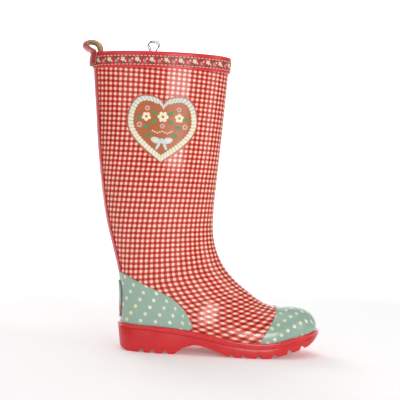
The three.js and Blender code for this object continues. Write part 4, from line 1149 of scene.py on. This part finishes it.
def make_heart():
    outline, run, total = heart_outline()
    centre = on_heart((0.0, 4.0))
    points, faces = laid_disc(on_heart(outline), centre, 0.3, 0.68, 22, **ON_LEG)
    piece("heart_gingerbread", points, faces, GINGERBREAD, bevel=0.12, slot="heart_print",
          replaces=["heart_patch"])

    # ribbed icing border: ribs run from its outer edge to its scalloped inner edge
    fine, run, total = heart_outline(900)
    ribs = round(total / 5.3)
    rib = np.abs(np.sin(math.pi * run / total * ribs)) ** 0.7
    middle = np.array([0.0, 4.0])
    ray = fine - middle
    far = np.linalg.norm(ray, axis=1)
    tangent = np.roll(fine, -1, 0) - np.roll(fine, 1, 0)
    tangent /= np.linalg.norm(tangent, axis=1)[:, None]
    slope = np.abs(ray[:, 0] * tangent[:, 1] - ray[:, 1] * tangent[:, 0]) / far
    slope = np.where((np.abs(fine[:, 0]) < 10) & (fine[:, 1] > 0), 1.0, np.maximum(slope, 0.55))
    share = np.linspace(0, 1, 9)[:, None]
    deep = 1.7 + share * (5.6 + 1.3 * rib)[None, :]
    grid = middle + ray[None] * (1 - deep / (far * slope)[None, :])[..., None]
    spot = on_heart(grid)
    v, turn = places_for(spot[..., 0], spot[..., 1], **{**ON_LEG})
    crown = np.sin(np.pi * np.clip(share, 0.03, 0.97)) ** 0.45
    high = 0.72 + crown * (0.15 + 0.85 * rib[None, :])
    points, faces = slab(skin(v, turn, high), skin(v, turn, 0.7 + 0 * high), wrap=True)
    along = np.stack([np.broadcast_to(np.minimum(run, total - run) / total * ribs, grid.shape[:2]),
                      np.broadcast_to(share, grid.shape[:2])], -1).reshape(-1, 2)
    piece("heart_icing_border", points, facing_out(points, faces), ICING_RIBS,
          {"ribs": np.vstack([along, along])},
          slot="heart_print")

    # a plain mirrored posy: three blossoms, roses and leaves over a line of icing dots and a small bow
    bow, folds, leaves = [], [], []
    blossoms, roses = [petalled(0, 14.5, 7.2, 6, 0.36, 0.0)], [petalled(0, 2.6, 3.4, 5, 0.16, 0.3)]
    centres = [(0, 14.5, 1.8), (0, 2.6, 1.3)]
    for side in (-1, 1):
        lean = (1 - side) / 2 * math.pi
        bow += [egg(side * 7.6, -16.2, 13.5, 8.0, lean + side * 0.3),
                egg(side * 4.6, -23.6, 11.0, 3.8, lean - side * 1.1)]
        folds.append(egg(side * 8.4, -16.0, 6.4, 2.4, lean + side * 0.3))
        leaves += [leaf_shape(side * x, y, long, 4.6, lean + side * turn) for x, y, long, turn in (
            (10.8, 19.6, 8.5, 0.7), (10.6, 8.2, 8.5, -0.5), (31.0, 12.6, 8.0, -0.9), (20.4, 1.4, 8.5, -0.15),
            (17.2, -9.4, 8.0, -0.6))]
        blossoms.append(petalled(side * 21.4, 14.0, 6.0, 5, 0.34, lean + 0.3))
        roses += [petalled(side * 29.6, 3.0, 3.8, 5, 0.16, 0.2),
                  petalled(side * 20.6, 25.0, 3.4, 5, 0.16, 0.5)]
        centres += [(side * 21.4, 14.0, 1.6), (side * 29.6, 3.0, 1.5), (side * 20.6, 25.0, 1.3)]
    heart_trims("heart_bow", bow, 0.68, 1.0, BOW, 0.25)
    heart_trims("heart_bow_folds", folds, 1.0, 1.3, STAR, 0.1)
    heart_trims("heart_bow_knot", [squarish(0, -16.8, 6.2, 0.0)], 0.68, 1.4, BOW, 0.35)
    heart_trims("heart_leaves", leaves, 0.68, 0.98, LEAF, 0.2)
    heart_trims("heart_blossoms", blossoms, 0.68, 1.05, STAR, 0.25)
    heart_trims("heart_roses", roses, 0.68, 1.1, ROSE, 0.25)
    heart_trims("heart_flower_centres", [egg(x, y, 2 * r, 2 * r, count=20) for x, y, r in centres],
                1.05, 1.42, GINGERBREAD, 0.1)
    swirl = [egg(3.1 * k, -5.4 + 1.3 * math.cos(k * math.pi / 2), 2.6, 1.7, count=20) for k in range(-4, 5)]
    heart_trims("heart_icing_swirl", swirl, 0.68, 0.98, ICING, 0.2, rings=3)


# ---------- rim band, ribbon and stitches ----------
def beside_rim(turn, out, up):
    """Places beside the rim: out across the wall, up from the rim plane, along the surface where below it."""
    turn, out, up = np.broadcast_arrays(turn, out, up)
    v = ring_below_rim(np.maximum(-up, 0), turn)
    p = skin(v, turn, out, reach=0.08)
    p[..., 2] += np.maximum(up, 0)
    return p


def closed_sweep(name, section, turn, material, slot, replaces=(), bevel=0.0):
    """A closed section of [out, up] points carried all round the rim."""
    out, up = np.array(section, float).T
    grid = beside_rim(turn[None, :], out[:, None], up[:, None])
    rows, cols = grid.shape[:2]
    ids = np.arange(rows * cols).reshape(rows, cols)
    j, i = np.meshgrid(np.arange(rows), np.arange(cols), indexing="ij")
    k, m = (i + 1) % cols, (j + 1) % rows
    faces = np.stack([ids[j, i].ravel(), ids[j, k].ravel(), ids[m, k].ravel(), ids[m, i].ravel()], 1)
    points = grid.reshape(-1, 3)
    return piece(name, points, facing_out(points, faces), material, bevel=bevel, slot=slot, replaces=replaces)


def make_rim_band():
    a = np.linspace(np.pi, 0, 13)
    roll = [(-1.35 + 3.15 * math.cos(t), 0.0 + 1.8 * math.sin(t) ** 0.8) for t in a]
    outside = [(1.8, -d) for d in (1.5, 3, 6, 9, 12, 15, 17.5)] + [(1.78, -18.8), (1.6, -19.5), (1.2, -19.9),
                                                                  (0.75, -20.0), (0.3, -20.0)]
    under = [(0.3, -d) for d in (17, 12, 8, 4, 1)] + [(0.3, 0.3), (-1.5, 0.3), (-3.5, 0.3)]
    inner = [(-3.5, -2), (-3.5, -5), (-3.5, -7.6), (-3.8, -8.0), (-4.2, -8.0), (-4.5, -7.6), (-4.5, -5),
             (-4.5, -2)]
    closed_sweep("rim_band_rubber", roll + outside + under + inner, around(200), BAND_RED, "band_rubber",
                 ["rim_band"])


def make_ribbon():
    turn = np.linspace(-np.pi, np.pi, 281)
    drops = np.array([3.4, 3.6, 5.5, 8, 10.5, 13, 15.5, 17.4, 17.6])[:, None]
    v = ring_below_rim(drops, turn[None, :])
    turns = np.broadcast_to(turn, v.shape)
    run = arc_steps(skin(v, turns, 2.4, 0.08))
    face = np.stack([run + 3.0, np.broadcast_to(10.5 - drops, v.shape)], -1)
    layer_piece("rim_ribbon_print", v, turns, 1.82, 2.45, RIBBON, {"ribbon": face}, reach=0.08,
                slot="ribbon_fabric", replaces=["rim_ribbon"])


def make_stitches(name, drop, node):
    turn = np.linspace(-np.pi, np.pi, 721)
    v = ring_below_rim(drop, turn)
    line = skin(v, turn, 2.55, 0.08)
    normal = last_normal(v, turn, 0.08)
    run = np.concatenate([[0], np.cumsum(np.linalg.norm(np.diff(line, axis=0), axis=1))])
    count = round(run[-1] / 5.1)
    pitch = run[-1] / count
    along = np.linspace(-1, 1, 9)
    sides = 8
    points, faces, maps = [], [], []
    ang = 2 * np.pi * np.arange(sides) / sides
    for k in range(count):
        at = (k + 0.5) * pitch + along * 1.75
        centre = np.stack([np.interp(at, run, line[:, c]) for c in range(3)], -1)
        up = np.stack([np.interp(at, run, normal[:, c]) for c in range(3)], -1)
        ahead = np.gradient(centre, axis=0)
        ahead /= np.linalg.norm(ahead, axis=1)[:, None]
        wide = np.cross(ahead, up)
        thick = 0.52 * np.sqrt(np.maximum(0.02, 1 - np.abs(along) ** 3.5))
        centre = centre + up * (0.2 * (1 - np.abs(along) ** 3) - 0.05)[:, None]
        spoke = wide[:, None] * np.cos(ang)[None, :, None] + up[:, None] * 0.8 * np.sin(ang)[None, :, None]
        points.append((centre[:, None] + spoke * thick[:, None, None]).reshape(-1, 3))
        maps += [(a, q / sides) for a in at for q in range(sides)]
        base = k * sides * 9
        for s in range(8):
            for q in range(sides):
                r = (q + 1) % sides
                faces.append((base + s * sides + q, base + (s + 1) * sides + q, base + (s + 1) * sides + r,
                              base + s * sides + r))
        faces.append(tuple(base + q for q in range(sides)))
        faces.append(tuple(base + 8 * sides + q for q in reversed(range(sides))))
    points = np.vstack(points)
    if volume_of(points[:sides * 9], [f for f in faces if max(f) < sides * 9]) < 0:
        faces = [f[::-1] for f in faces]
    piece(name, points, faces, THREAD, {"thread": np.array(maps)}, slot="stitch_thread", replaces=[node])


# ---------- pull loop ----------
LOOP_PATH = [[-5.95, -13], [-5.95, -6.5], [-5.95, 2.4], [-5.05, 7.2], [-2, 12.1], [3.8, 15.1], [9.8, 15.6],
             [14.6, 13.8], [15, 9.4], [10.6, 4.9], [5.0, 2.4], [5.0, -7.5], [5.0, -15]]


def curve_through(points, count, closed=False):
    """A smooth curve through points, its knots spaced by the square root of their distance."""
    p = np.array(points, float)
    p = np.vstack([p[-1], p, p[:2]]) if closed else np.vstack([2 * p[0] - p[1], p, 2 * p[-1] - p[-2]])
    spans = len(p) - 3
    out = []
    for u in np.linspace(0, spans, count, endpoint=not closed):
        i = min(int(u), spans - 1)
        t = u - i
        a, b, c, d = p[i:i + 4]
        d0, d1, d2 = (max(np.linalg.norm(m - n) ** 0.5, 1e-4) for m, n in ((b, a), (c, b), (d, c)))
        m0 = ((b - a) / d0 - (c - a) / (d0 + d1) + (c - b) / d1) * d1
        m1 = ((c - b) / d1 - (d - b) / (d1 + d2) + (d - c) / d2) * d1
        out.append((2 * t**3 - 3 * t**2 + 1) * b + (t**3 - 2 * t**2 + t) * m0
                   + (3 * t**2 - 2 * t**3) * c + (t**3 - t**2) * m1)
    return np.array(out)


def loop_grid(low, high, half_width, columns=17, rows=96):
    """Both faces of a strap that follows the loop path, between two distances from its middle."""
    path = curve_through(LOOP_PATH, rows)
    ahead = np.gradient(path, axis=0)
    ahead /= np.linalg.norm(ahead, axis=1)[:, None]
    side = np.stack([-ahead[:, 1], ahead[:, 0]], -1)
    across = np.linspace(-half_width, half_width, columns)

    def wide(turn):
        return last_point(0.8, turn)[..., 1] > np.abs(across)
    turn = where_on(wide, np.full(columns, np.pi / 2), np.full(columns, np.pi))
    turn = np.where(across < 0, 2 * np.pi - turn, turn)
    base, normal = last_point(0.8, turn), last_normal(0.8, turn)
    back_x = last_point(0.8, np.pi)[0]
    flat = normal[:, :2] / np.linalg.norm(normal[:, :2], axis=1)[:, None]
    faces = []
    for off in (high, low):
        line = path + side * off
        u, z = line[:, :1], line[:, 1:2]
        lift = np.clip((path[:, 1:2] - 2) / 11, 0, 1)
        dx = flat[None, :, 0] * (1 - lift) - lift
        dy = flat[None, :, 1] * (1 - lift)
        size = np.hypot(dx, dy)
        x = base[None, :, 0] + (back_x - base[None, :, 0]) * 0.2 * lift + dx / size * u
        y = base[None, :, 1] + dy / size * u
        faces.append(np.stack([x, y, rim_height(base[None, :, 0]) + z + 0 * x], -1))
    return faces, path, across


def make_pull_loop():
    for name, low, high, half, material, nodes in (
            ("pull_loop_rubber", 0.0, 0.9, 17.0, LOOP_RED, ["pull_loop"]),
            ("pull_loop_facing", -0.85, 0.0, 16.7, LOOP_COTTON, [])):
        (top, bottom), path, across = loop_grid(low, high, half)
        points, faces = slab(top, bottom)
        run = np.concatenate([[0], np.cumsum(np.linalg.norm(np.diff(path, axis=0), axis=1))])
        cloth = np.stack(np.broadcast_arrays(across[None, :], run[:, None]), -1)
        piece(name, points, facing_out(points, faces), material,
              {"loop": np.vstack([cloth.reshape(-1, 2)] * 2)},
              bevel=0.25, slot="loop_webbing", replaces=nodes)


# ---------- sole ----------
OUTLINE = [[0, 0], [8.5, -23], [38, -37.2], [90, -42.6], [145, -49.8], [184, -52], [219, -48.6], [250, -36],
           [269, -17], [277, 8], [269, 33], [250, 46.6], [219, 52.4], [184, 50.8], [145, 46], [90, 39.6],
           [38, 35.2], [8.5, 21.5]]
LEAN = [[0, 5], [40, 3.5], [90, 3], [150, 1.8], [200, 1.8], [240, 5], [277, 9]]
GROOVES = [31, 45.5, 62, 150, 166, 186, 207, 228, 247]
OUTLINE_FINE = curve_through(OUTLINE, 260, closed=True)


def outline_grown(amount):
    p = OUTLINE_FINE
    side = np.roll(p, -1, 0) - np.roll(p, 1, 0)
    side = np.stack([side[:, 1], -side[:, 0]], -1)
    side /= np.linalg.norm(side, axis=1)[:, None]
    return p + side * np.broadcast_to(amount, len(p))[:, None]


def ring_stack(levels):
    """Closed rings of points, one above another, capped at both ends."""
    count = len(levels[0])
    points = np.vstack(levels)
    faces = []
    for j in range(len(levels) - 1):
        for i in range(count):
            k = (i + 1) % count
            faces.append((j * count + i, j * count + k, (j + 1) * count + k, (j + 1) * count + i))
    faces.append(tuple(range(count))[::-1])
    faces.append(tuple((len(levels) - 1) * count + i for i in range(count)))
    if volume_of(points, faces) < 0:
        faces = [f[::-1] for f in faces]
    return points, faces


def at_height(plan, z):
    return np.column_stack([plan, np.broadcast_to(z, len(plan))])


def worn_solid(name, points, faces):
    """A working solid for cutting, in metres in the shared frame."""
    mesh = bpy.data.meshes.new(name)
    mesh.from_pydata(to_frame(points).tolist(), [], [tuple(int(i) for i in f) for f in faces])
    mesh.update()
    obj = bpy.data.objects.new(name, mesh)
    bpy.context.scene.collection.objects.link(obj)
    return obj


def cut(base, *steps):
    """The base solid after each (operation, other solid) in turn; the working solids are cleared away."""
    for operation, other in steps:
        change = base.modifiers.new("cut", "BOOLEAN")
        change.operation, change.object, change.solver = operation, other, "EXACT"
    mesh = bpy.data.meshes.new_from_object(base.evaluated_get(bpy.context.evaluated_depsgraph_get()))
    points = np.empty(len(mesh.vertices) * 3)
    mesh.vertices.foreach_get("co", points)
    faces = [tuple(f.vertices) for f in mesh.polygons]
    for obj in (base, *(other for _, other in steps)):
        bpy.data.meshes.remove(obj.data)
    bpy.data.meshes.remove(mesh)
    return (points.reshape(-1, 3) - np.array(PLACE)) * 1000, faces


def make_sole():
    edge = OUTLINE_FINE
    foot = outline_grown(-side_line(LEAN, edge[:, 0]))
    ridge = side_line(RIDGE, edge[:, 0])
    ledge = outline_grown(-1.8)
    blank = ring_stack([at_height(foot, -4), at_height(edge, ridge - 0.5),
                        at_height(outline_grown(-0.35), ridge),
                        at_height(ledge, side_line(RIDGE, ledge[:, 0])), at_height(ledge, 70)])
    xs = [x for x in np.arange(-14, 292, 2.5) if all(abs(x - g) > 5 for g in GROOVES)]
    tread = [(x, side_line(TREAD, x)) for x in xs]
    for g in GROOVES:
        low = float(side_line(TREAD, g))
        tread += [(g - 4.0, float(side_line(TREAD, g - 4.0))), (g - 2.0, low + 4.6), (g + 2.0, low + 4.6),
                  (g + 4.0, float(side_line(TREAD, g + 4.0)))]
    tread.sort()
    top = [(x, side_line(SOLE_TOP, x)) for x in np.arange(291, -15, -2.5)]
    profile = np.array(tread + top, float)
    side = ring_stack([np.column_stack([profile[:, 0], np.full(len(profile), y),
                                        profile[:, 1]]) for y in (-80, 80)])
    v, turn = np.meshgrid(np.concatenate([np.linspace(7.0, 18.95, 100)]), around(96), indexing="ij")
    foot_skin = ring_stack(list(skin(v, turn, 0.3, 0.08)))
    points, faces = cut(worn_solid("sole_blank", *blank), ("INTERSECT", worn_solid("sole_side", *side)),
                        ("DIFFERENCE", worn_solid("foot_seat", *foot_skin)))
    piece("outsole_rubber", points, faces, SOLE_RED, slot="sole_rubber", replaces=["outsole"])

    def strip(section):
        rings = []
        for grow, where, up in section:
            plan = outline_grown(grow)
            low, high = side_line(RIDGE, plan[:, 0]) + 0.3, side_line(SOLE_TOP, plan[:, 0])
            rings.append(at_height(plan, low + (high - low) * where + up))
        grid = np.array(rings)
        rows, cols = grid.shape[:2]
        ids = np.arange(rows * cols).reshape(rows, cols)
        quads = [(ids[j, i], ids[j, (i + 1) % cols], ids[(j + 1) % rows, (i + 1) % cols],
                  ids[(j + 1) % rows, i])
                 for j in range(rows) for i in range(cols)]
        return grid.reshape(-1, 3), facing_out(grid.reshape(-1, 3), np.array(quads))
    points, faces = strip([(-1.5, 0, 0), (0.2, 0, 0), (0.62, 0, 0.12), (0.8, 0, 0.3), (1.2, 0, 0.55),
                           (1.34, 0, 0.95),
                           (1.2, 0, 1.35), (0.8, 0, 1.6), (0.8, 0.45, 0), (0.8, 0.7, 0),
                           (0.72, 1, -0.5), (0.45, 1, -0.14), (0.0, 1, 0), (-1.5, 1, 0)])
    piece("foxing_rubber_strip", points, faces, FOXING_RED, slot="foxing_rubber", replaces=["foxing_strip"])


# ---------- clip ----------
CLIP_X, CLIP_TURN, JAW_MID, CURL_AT, CLIP_REACH = 29.0, 0.0504, -0.9, 6.9, 6.0


def make_handles():
    turn = float(where_on(lambda t: last_point(0.8, t)[..., 0] > CLIP_X, np.array([0.0]),
                          np.array([np.pi]))[0])
    spot = last_point(0.8, turn)
    lift = rim_height(spot[0])
    c, s = math.cos(CLIP_TURN), math.sin(CLIP_TURN)
    lean = math.asin((CURL_AT - (4.85 + 0.8 + 0.3 + 0.8)) / 15.5)
    l, bulb, neck = 33.2, 7.35, 3.85
    right = [[15, 0], [11.4, 0], [9.8, .2], [8.4, 1.5], [7.2, 4.6], [5.5, 11], [neck, .56 * l],
             [neck + .7, .66 * l],
             [bulb, .82 * l], [.86 * bulb, .93 * l], [.45 * bulb, .99 * l], [0, l]]
    shape = right + [[-a, b] for a, b in right[-2::-1]]
    for name, sign, node, body in (("clip_wire_outer", 1, "clip_handle_outer", "handle_outer"),
                                   ("clip_wire_inner", -1, "clip_handle_inner", "handle_inner")):
        path = curve_through([[a, JAW_MID + sign * (CURL_AT - h * math.sin(lean)),
                               -CLIP_REACH + h * math.cos(lean)]
                              for a, h in shape], 150)
        ahead = np.gradient(path, axis=0)
        ahead /= np.linalg.norm(ahead, axis=1)[:, None]
        aside = np.array([0.0, math.cos(lean), sign * math.sin(lean)])
        other = np.cross(ahead, aside)
        other /= np.linalg.norm(other, axis=1)[:, None]
        ang = 2 * np.pi * np.arange(12) / 12
        ring = (path[:, None] + 0.79 * (np.cos(ang)[None, :, None] * aside + np.sin(ang)[None, :, None]
                                       * other[:, None]))
        placed = np.stack([ring[..., 0] * c - ring[..., 1] * s + spot[0], ring[..., 0] * s + ring[..., 1] * c
                           + spot[1], ring[..., 2] + lift], -1)
        points, faces = ring_stack(list(placed))
        piece(name, points, faces, WIRE, body=body, slot="handle_wire", replaces=[node])


# ---------- all pieces ----------
make_upper()
make_lining()
make_toe_cap()
make_heel_counter()
make_back_strap()
make_heel_badge()
make_heart()
make_rim_band()
make_ribbon()
make_stitches("stitch_threads_top", 4.8, "stitch_row_top")
make_stitches("stitch_threads_bottom", 16.2, "stitch_row_bottom")
make_pull_loop()
make_sole()
make_handles()

INSIDE = {
    "heel_core": speckled("foam_heel_core", rgb(232, 226, 210), 260, 0.2),
    "shank": plated_wire("spring_steel_shank", rgb(150, 152, 156), 0.35),
    "bottom_filler": speckled("cork_bottom_filler", rgb(150, 112, 74), 420, 0.6, 0.92, 0.7),
    "insole_board": speckled("fibre_insole_board", rgb(196, 176, 140), 700, 0.35),
    "toe_puff": speckled("toe_puff_canvas", rgb(214, 206, 186), 900, 0.3),
    "counter_stiffener": speckled("heel_stiffener_canvas", rgb(210, 202, 182), 900, 0.3),
    "vamp_reinforcement": speckled("vamp_canvas", rgb(216, 208, 190), 900, 0.3),
    "footbed": speckled("footbed_foam_cells", rgb(206, 204, 196), 520, 0.4, 0.95, 0.8),
    "footbed_cover": cover_cloth(),
    "clip_body": ENAMEL,
}
for node, material in INSIDE.items():
    shell = bpy.data.objects[node]
    for place in range(max(1, len(shell.material_slots))):
        if not shell.material_slots:
            shell.data.materials.append(material)
        shell.material_slots[place].material = material

# ---------- floor, light and camera ----------
FLOOR_GLOW = 0.14
ROOM_LIGHT = 0.33
LENS_LONG, SENSOR_WIDE = 82.7, 36.0
CAMERA_AT = (-0.1555, -1.2407, 0.2177)


def soft_panel(name, where, towards, wide, tall, power, tint=(1.0, 1.0, 1.0)):
    light = bpy.data.lights.new(name, "AREA")
    light.shape, light.size, light.size_y, light.energy, light.color = "RECTANGLE", wide, tall, power, tint
    lamp = bpy.data.objects.new(name, light)
    lamp.location = where
    lamp.rotation_euler = (Vector(towards) - Vector(where)).to_track_quat("-Z", "Y").to_euler()
    bpy.context.scene.collection.objects.link(lamp)
    return lamp


def make_floor():
    reach, bend, step = 3.0, 1.2, 24
    rows = [(-reach, 0.0)] + [(2.0 + bend * math.sin(a), bend * (1 - math.cos(a)))
                              for a in np.linspace(0, math.pi / 2, step)] + [(2.0 + bend, 4.0)]
    points = [(x, y, z) for y, z in rows for x in (-4.0, 4.0)]
    faces = [(2 * i, 2 * i + 1, 2 * i + 3, 2 * i + 2) for i in range(len(rows) - 1)]
    mesh = bpy.data.meshes.new("studio_floor")
    mesh.from_pydata(points, [], faces)
    mesh.polygons.foreach_set("use_smooth", [True] * len(mesh.polygons))
    floor = bpy.data.objects.new("studio_floor", mesh)
    bpy.context.scene.collection.objects.link(floor)
    material, make, shader = principled("pale_studio_paper", Specular_IOR_Level=0.0)
    where = make.object_place()
    paper = make.blend(make.noise(where, 3, 2), rgb(250, 250, 250), rgb(252, 252, 252))
    make.feed(shader["Base Color"], paper)
    shader["Roughness"].default_value = 1.0
    shader["Emission Color"].default_value = (1, 1, 1, 1)
    shader["Emission Strength"].default_value = FLOOR_GLOW
    mesh.materials.append(material)


make_floor()
middle = Vector((0.0, 0.0, 0.2))
soft_panel("front_softbox", (-1.2, -1.9, 0.9), middle, 1.3, 1.3, 5.5)
soft_panel("foot_softbox", (0.36, -1.31, 0.42), Vector((0.01, -0.04, 0.055)), 0.5, 0.36, 4.6)
soft_panel("right_softbox", (1.9, -0.9, 0.9), middle, 0.7, 1.4, 6)
soft_panel("top_softbox", (0.1, 0.1, 2.2), middle, 1.8, 1.8, 11)
soft_panel("back_softbox", (-0.8, 1.9, 1.2), middle, 1.2, 1.2, 12)
soft_panel("backdrop_wash", (0.0, 1.3, 1.6), Vector((0, 3.1, 0.9)), 3.0, 1.2, 60)

world = bpy.data.worlds.new("pale_room")
world.use_nodes = True
room = world.node_tree
glow = room.nodes["Background"]
glow.inputs["Color"].default_value = (1.0, 1.0, 1.0, 1)
seen = room.nodes.new("ShaderNodeLightPath")
brighter = room.nodes.new("ShaderNodeMath")
brighter.operation = "MAXIMUM"
brighter.inputs[1].default_value = ROOM_LIGHT
room.links.new(seen.outputs["Is Camera Ray"], brighter.inputs[0])
room.links.new(brighter.outputs[0], glow.inputs["Strength"])
bpy.context.scene.world = world
bpy.context.scene.view_settings.view_transform = "Standard"

azimuth, tilt, roll = math.radians(-7.0), math.radians(-0.6), math.radians(3.3)
ahead = Vector((-math.sin(azimuth) * math.cos(tilt), math.cos(azimuth) * math.cos(tilt), math.sin(tilt)))
level = ahead.cross(Vector((0, 0, 1))).normalized()
upward = level.cross(ahead)
right = level * math.cos(roll) + upward * math.sin(roll)
up = upward * math.cos(roll) - level * math.sin(roll)
lens = bpy.data.cameras.new("side_camera")
lens.lens, lens.sensor_width = LENS_LONG, SENSOR_WIDE
camera = bpy.data.objects.new("side_camera", lens)
camera.matrix_world = Matrix([(right.x, up.x, -ahead.x, CAMERA_AT[0]), (right.y, up.y, -ahead.y, CAMERA_AT[1]),
                              (right.z, up.z, -ahead.z, CAMERA_AT[2]), (0, 0, 0, 1)])
bpy.context.scene.collection.objects.link(camera)
bpy.context.scene.camera = camera
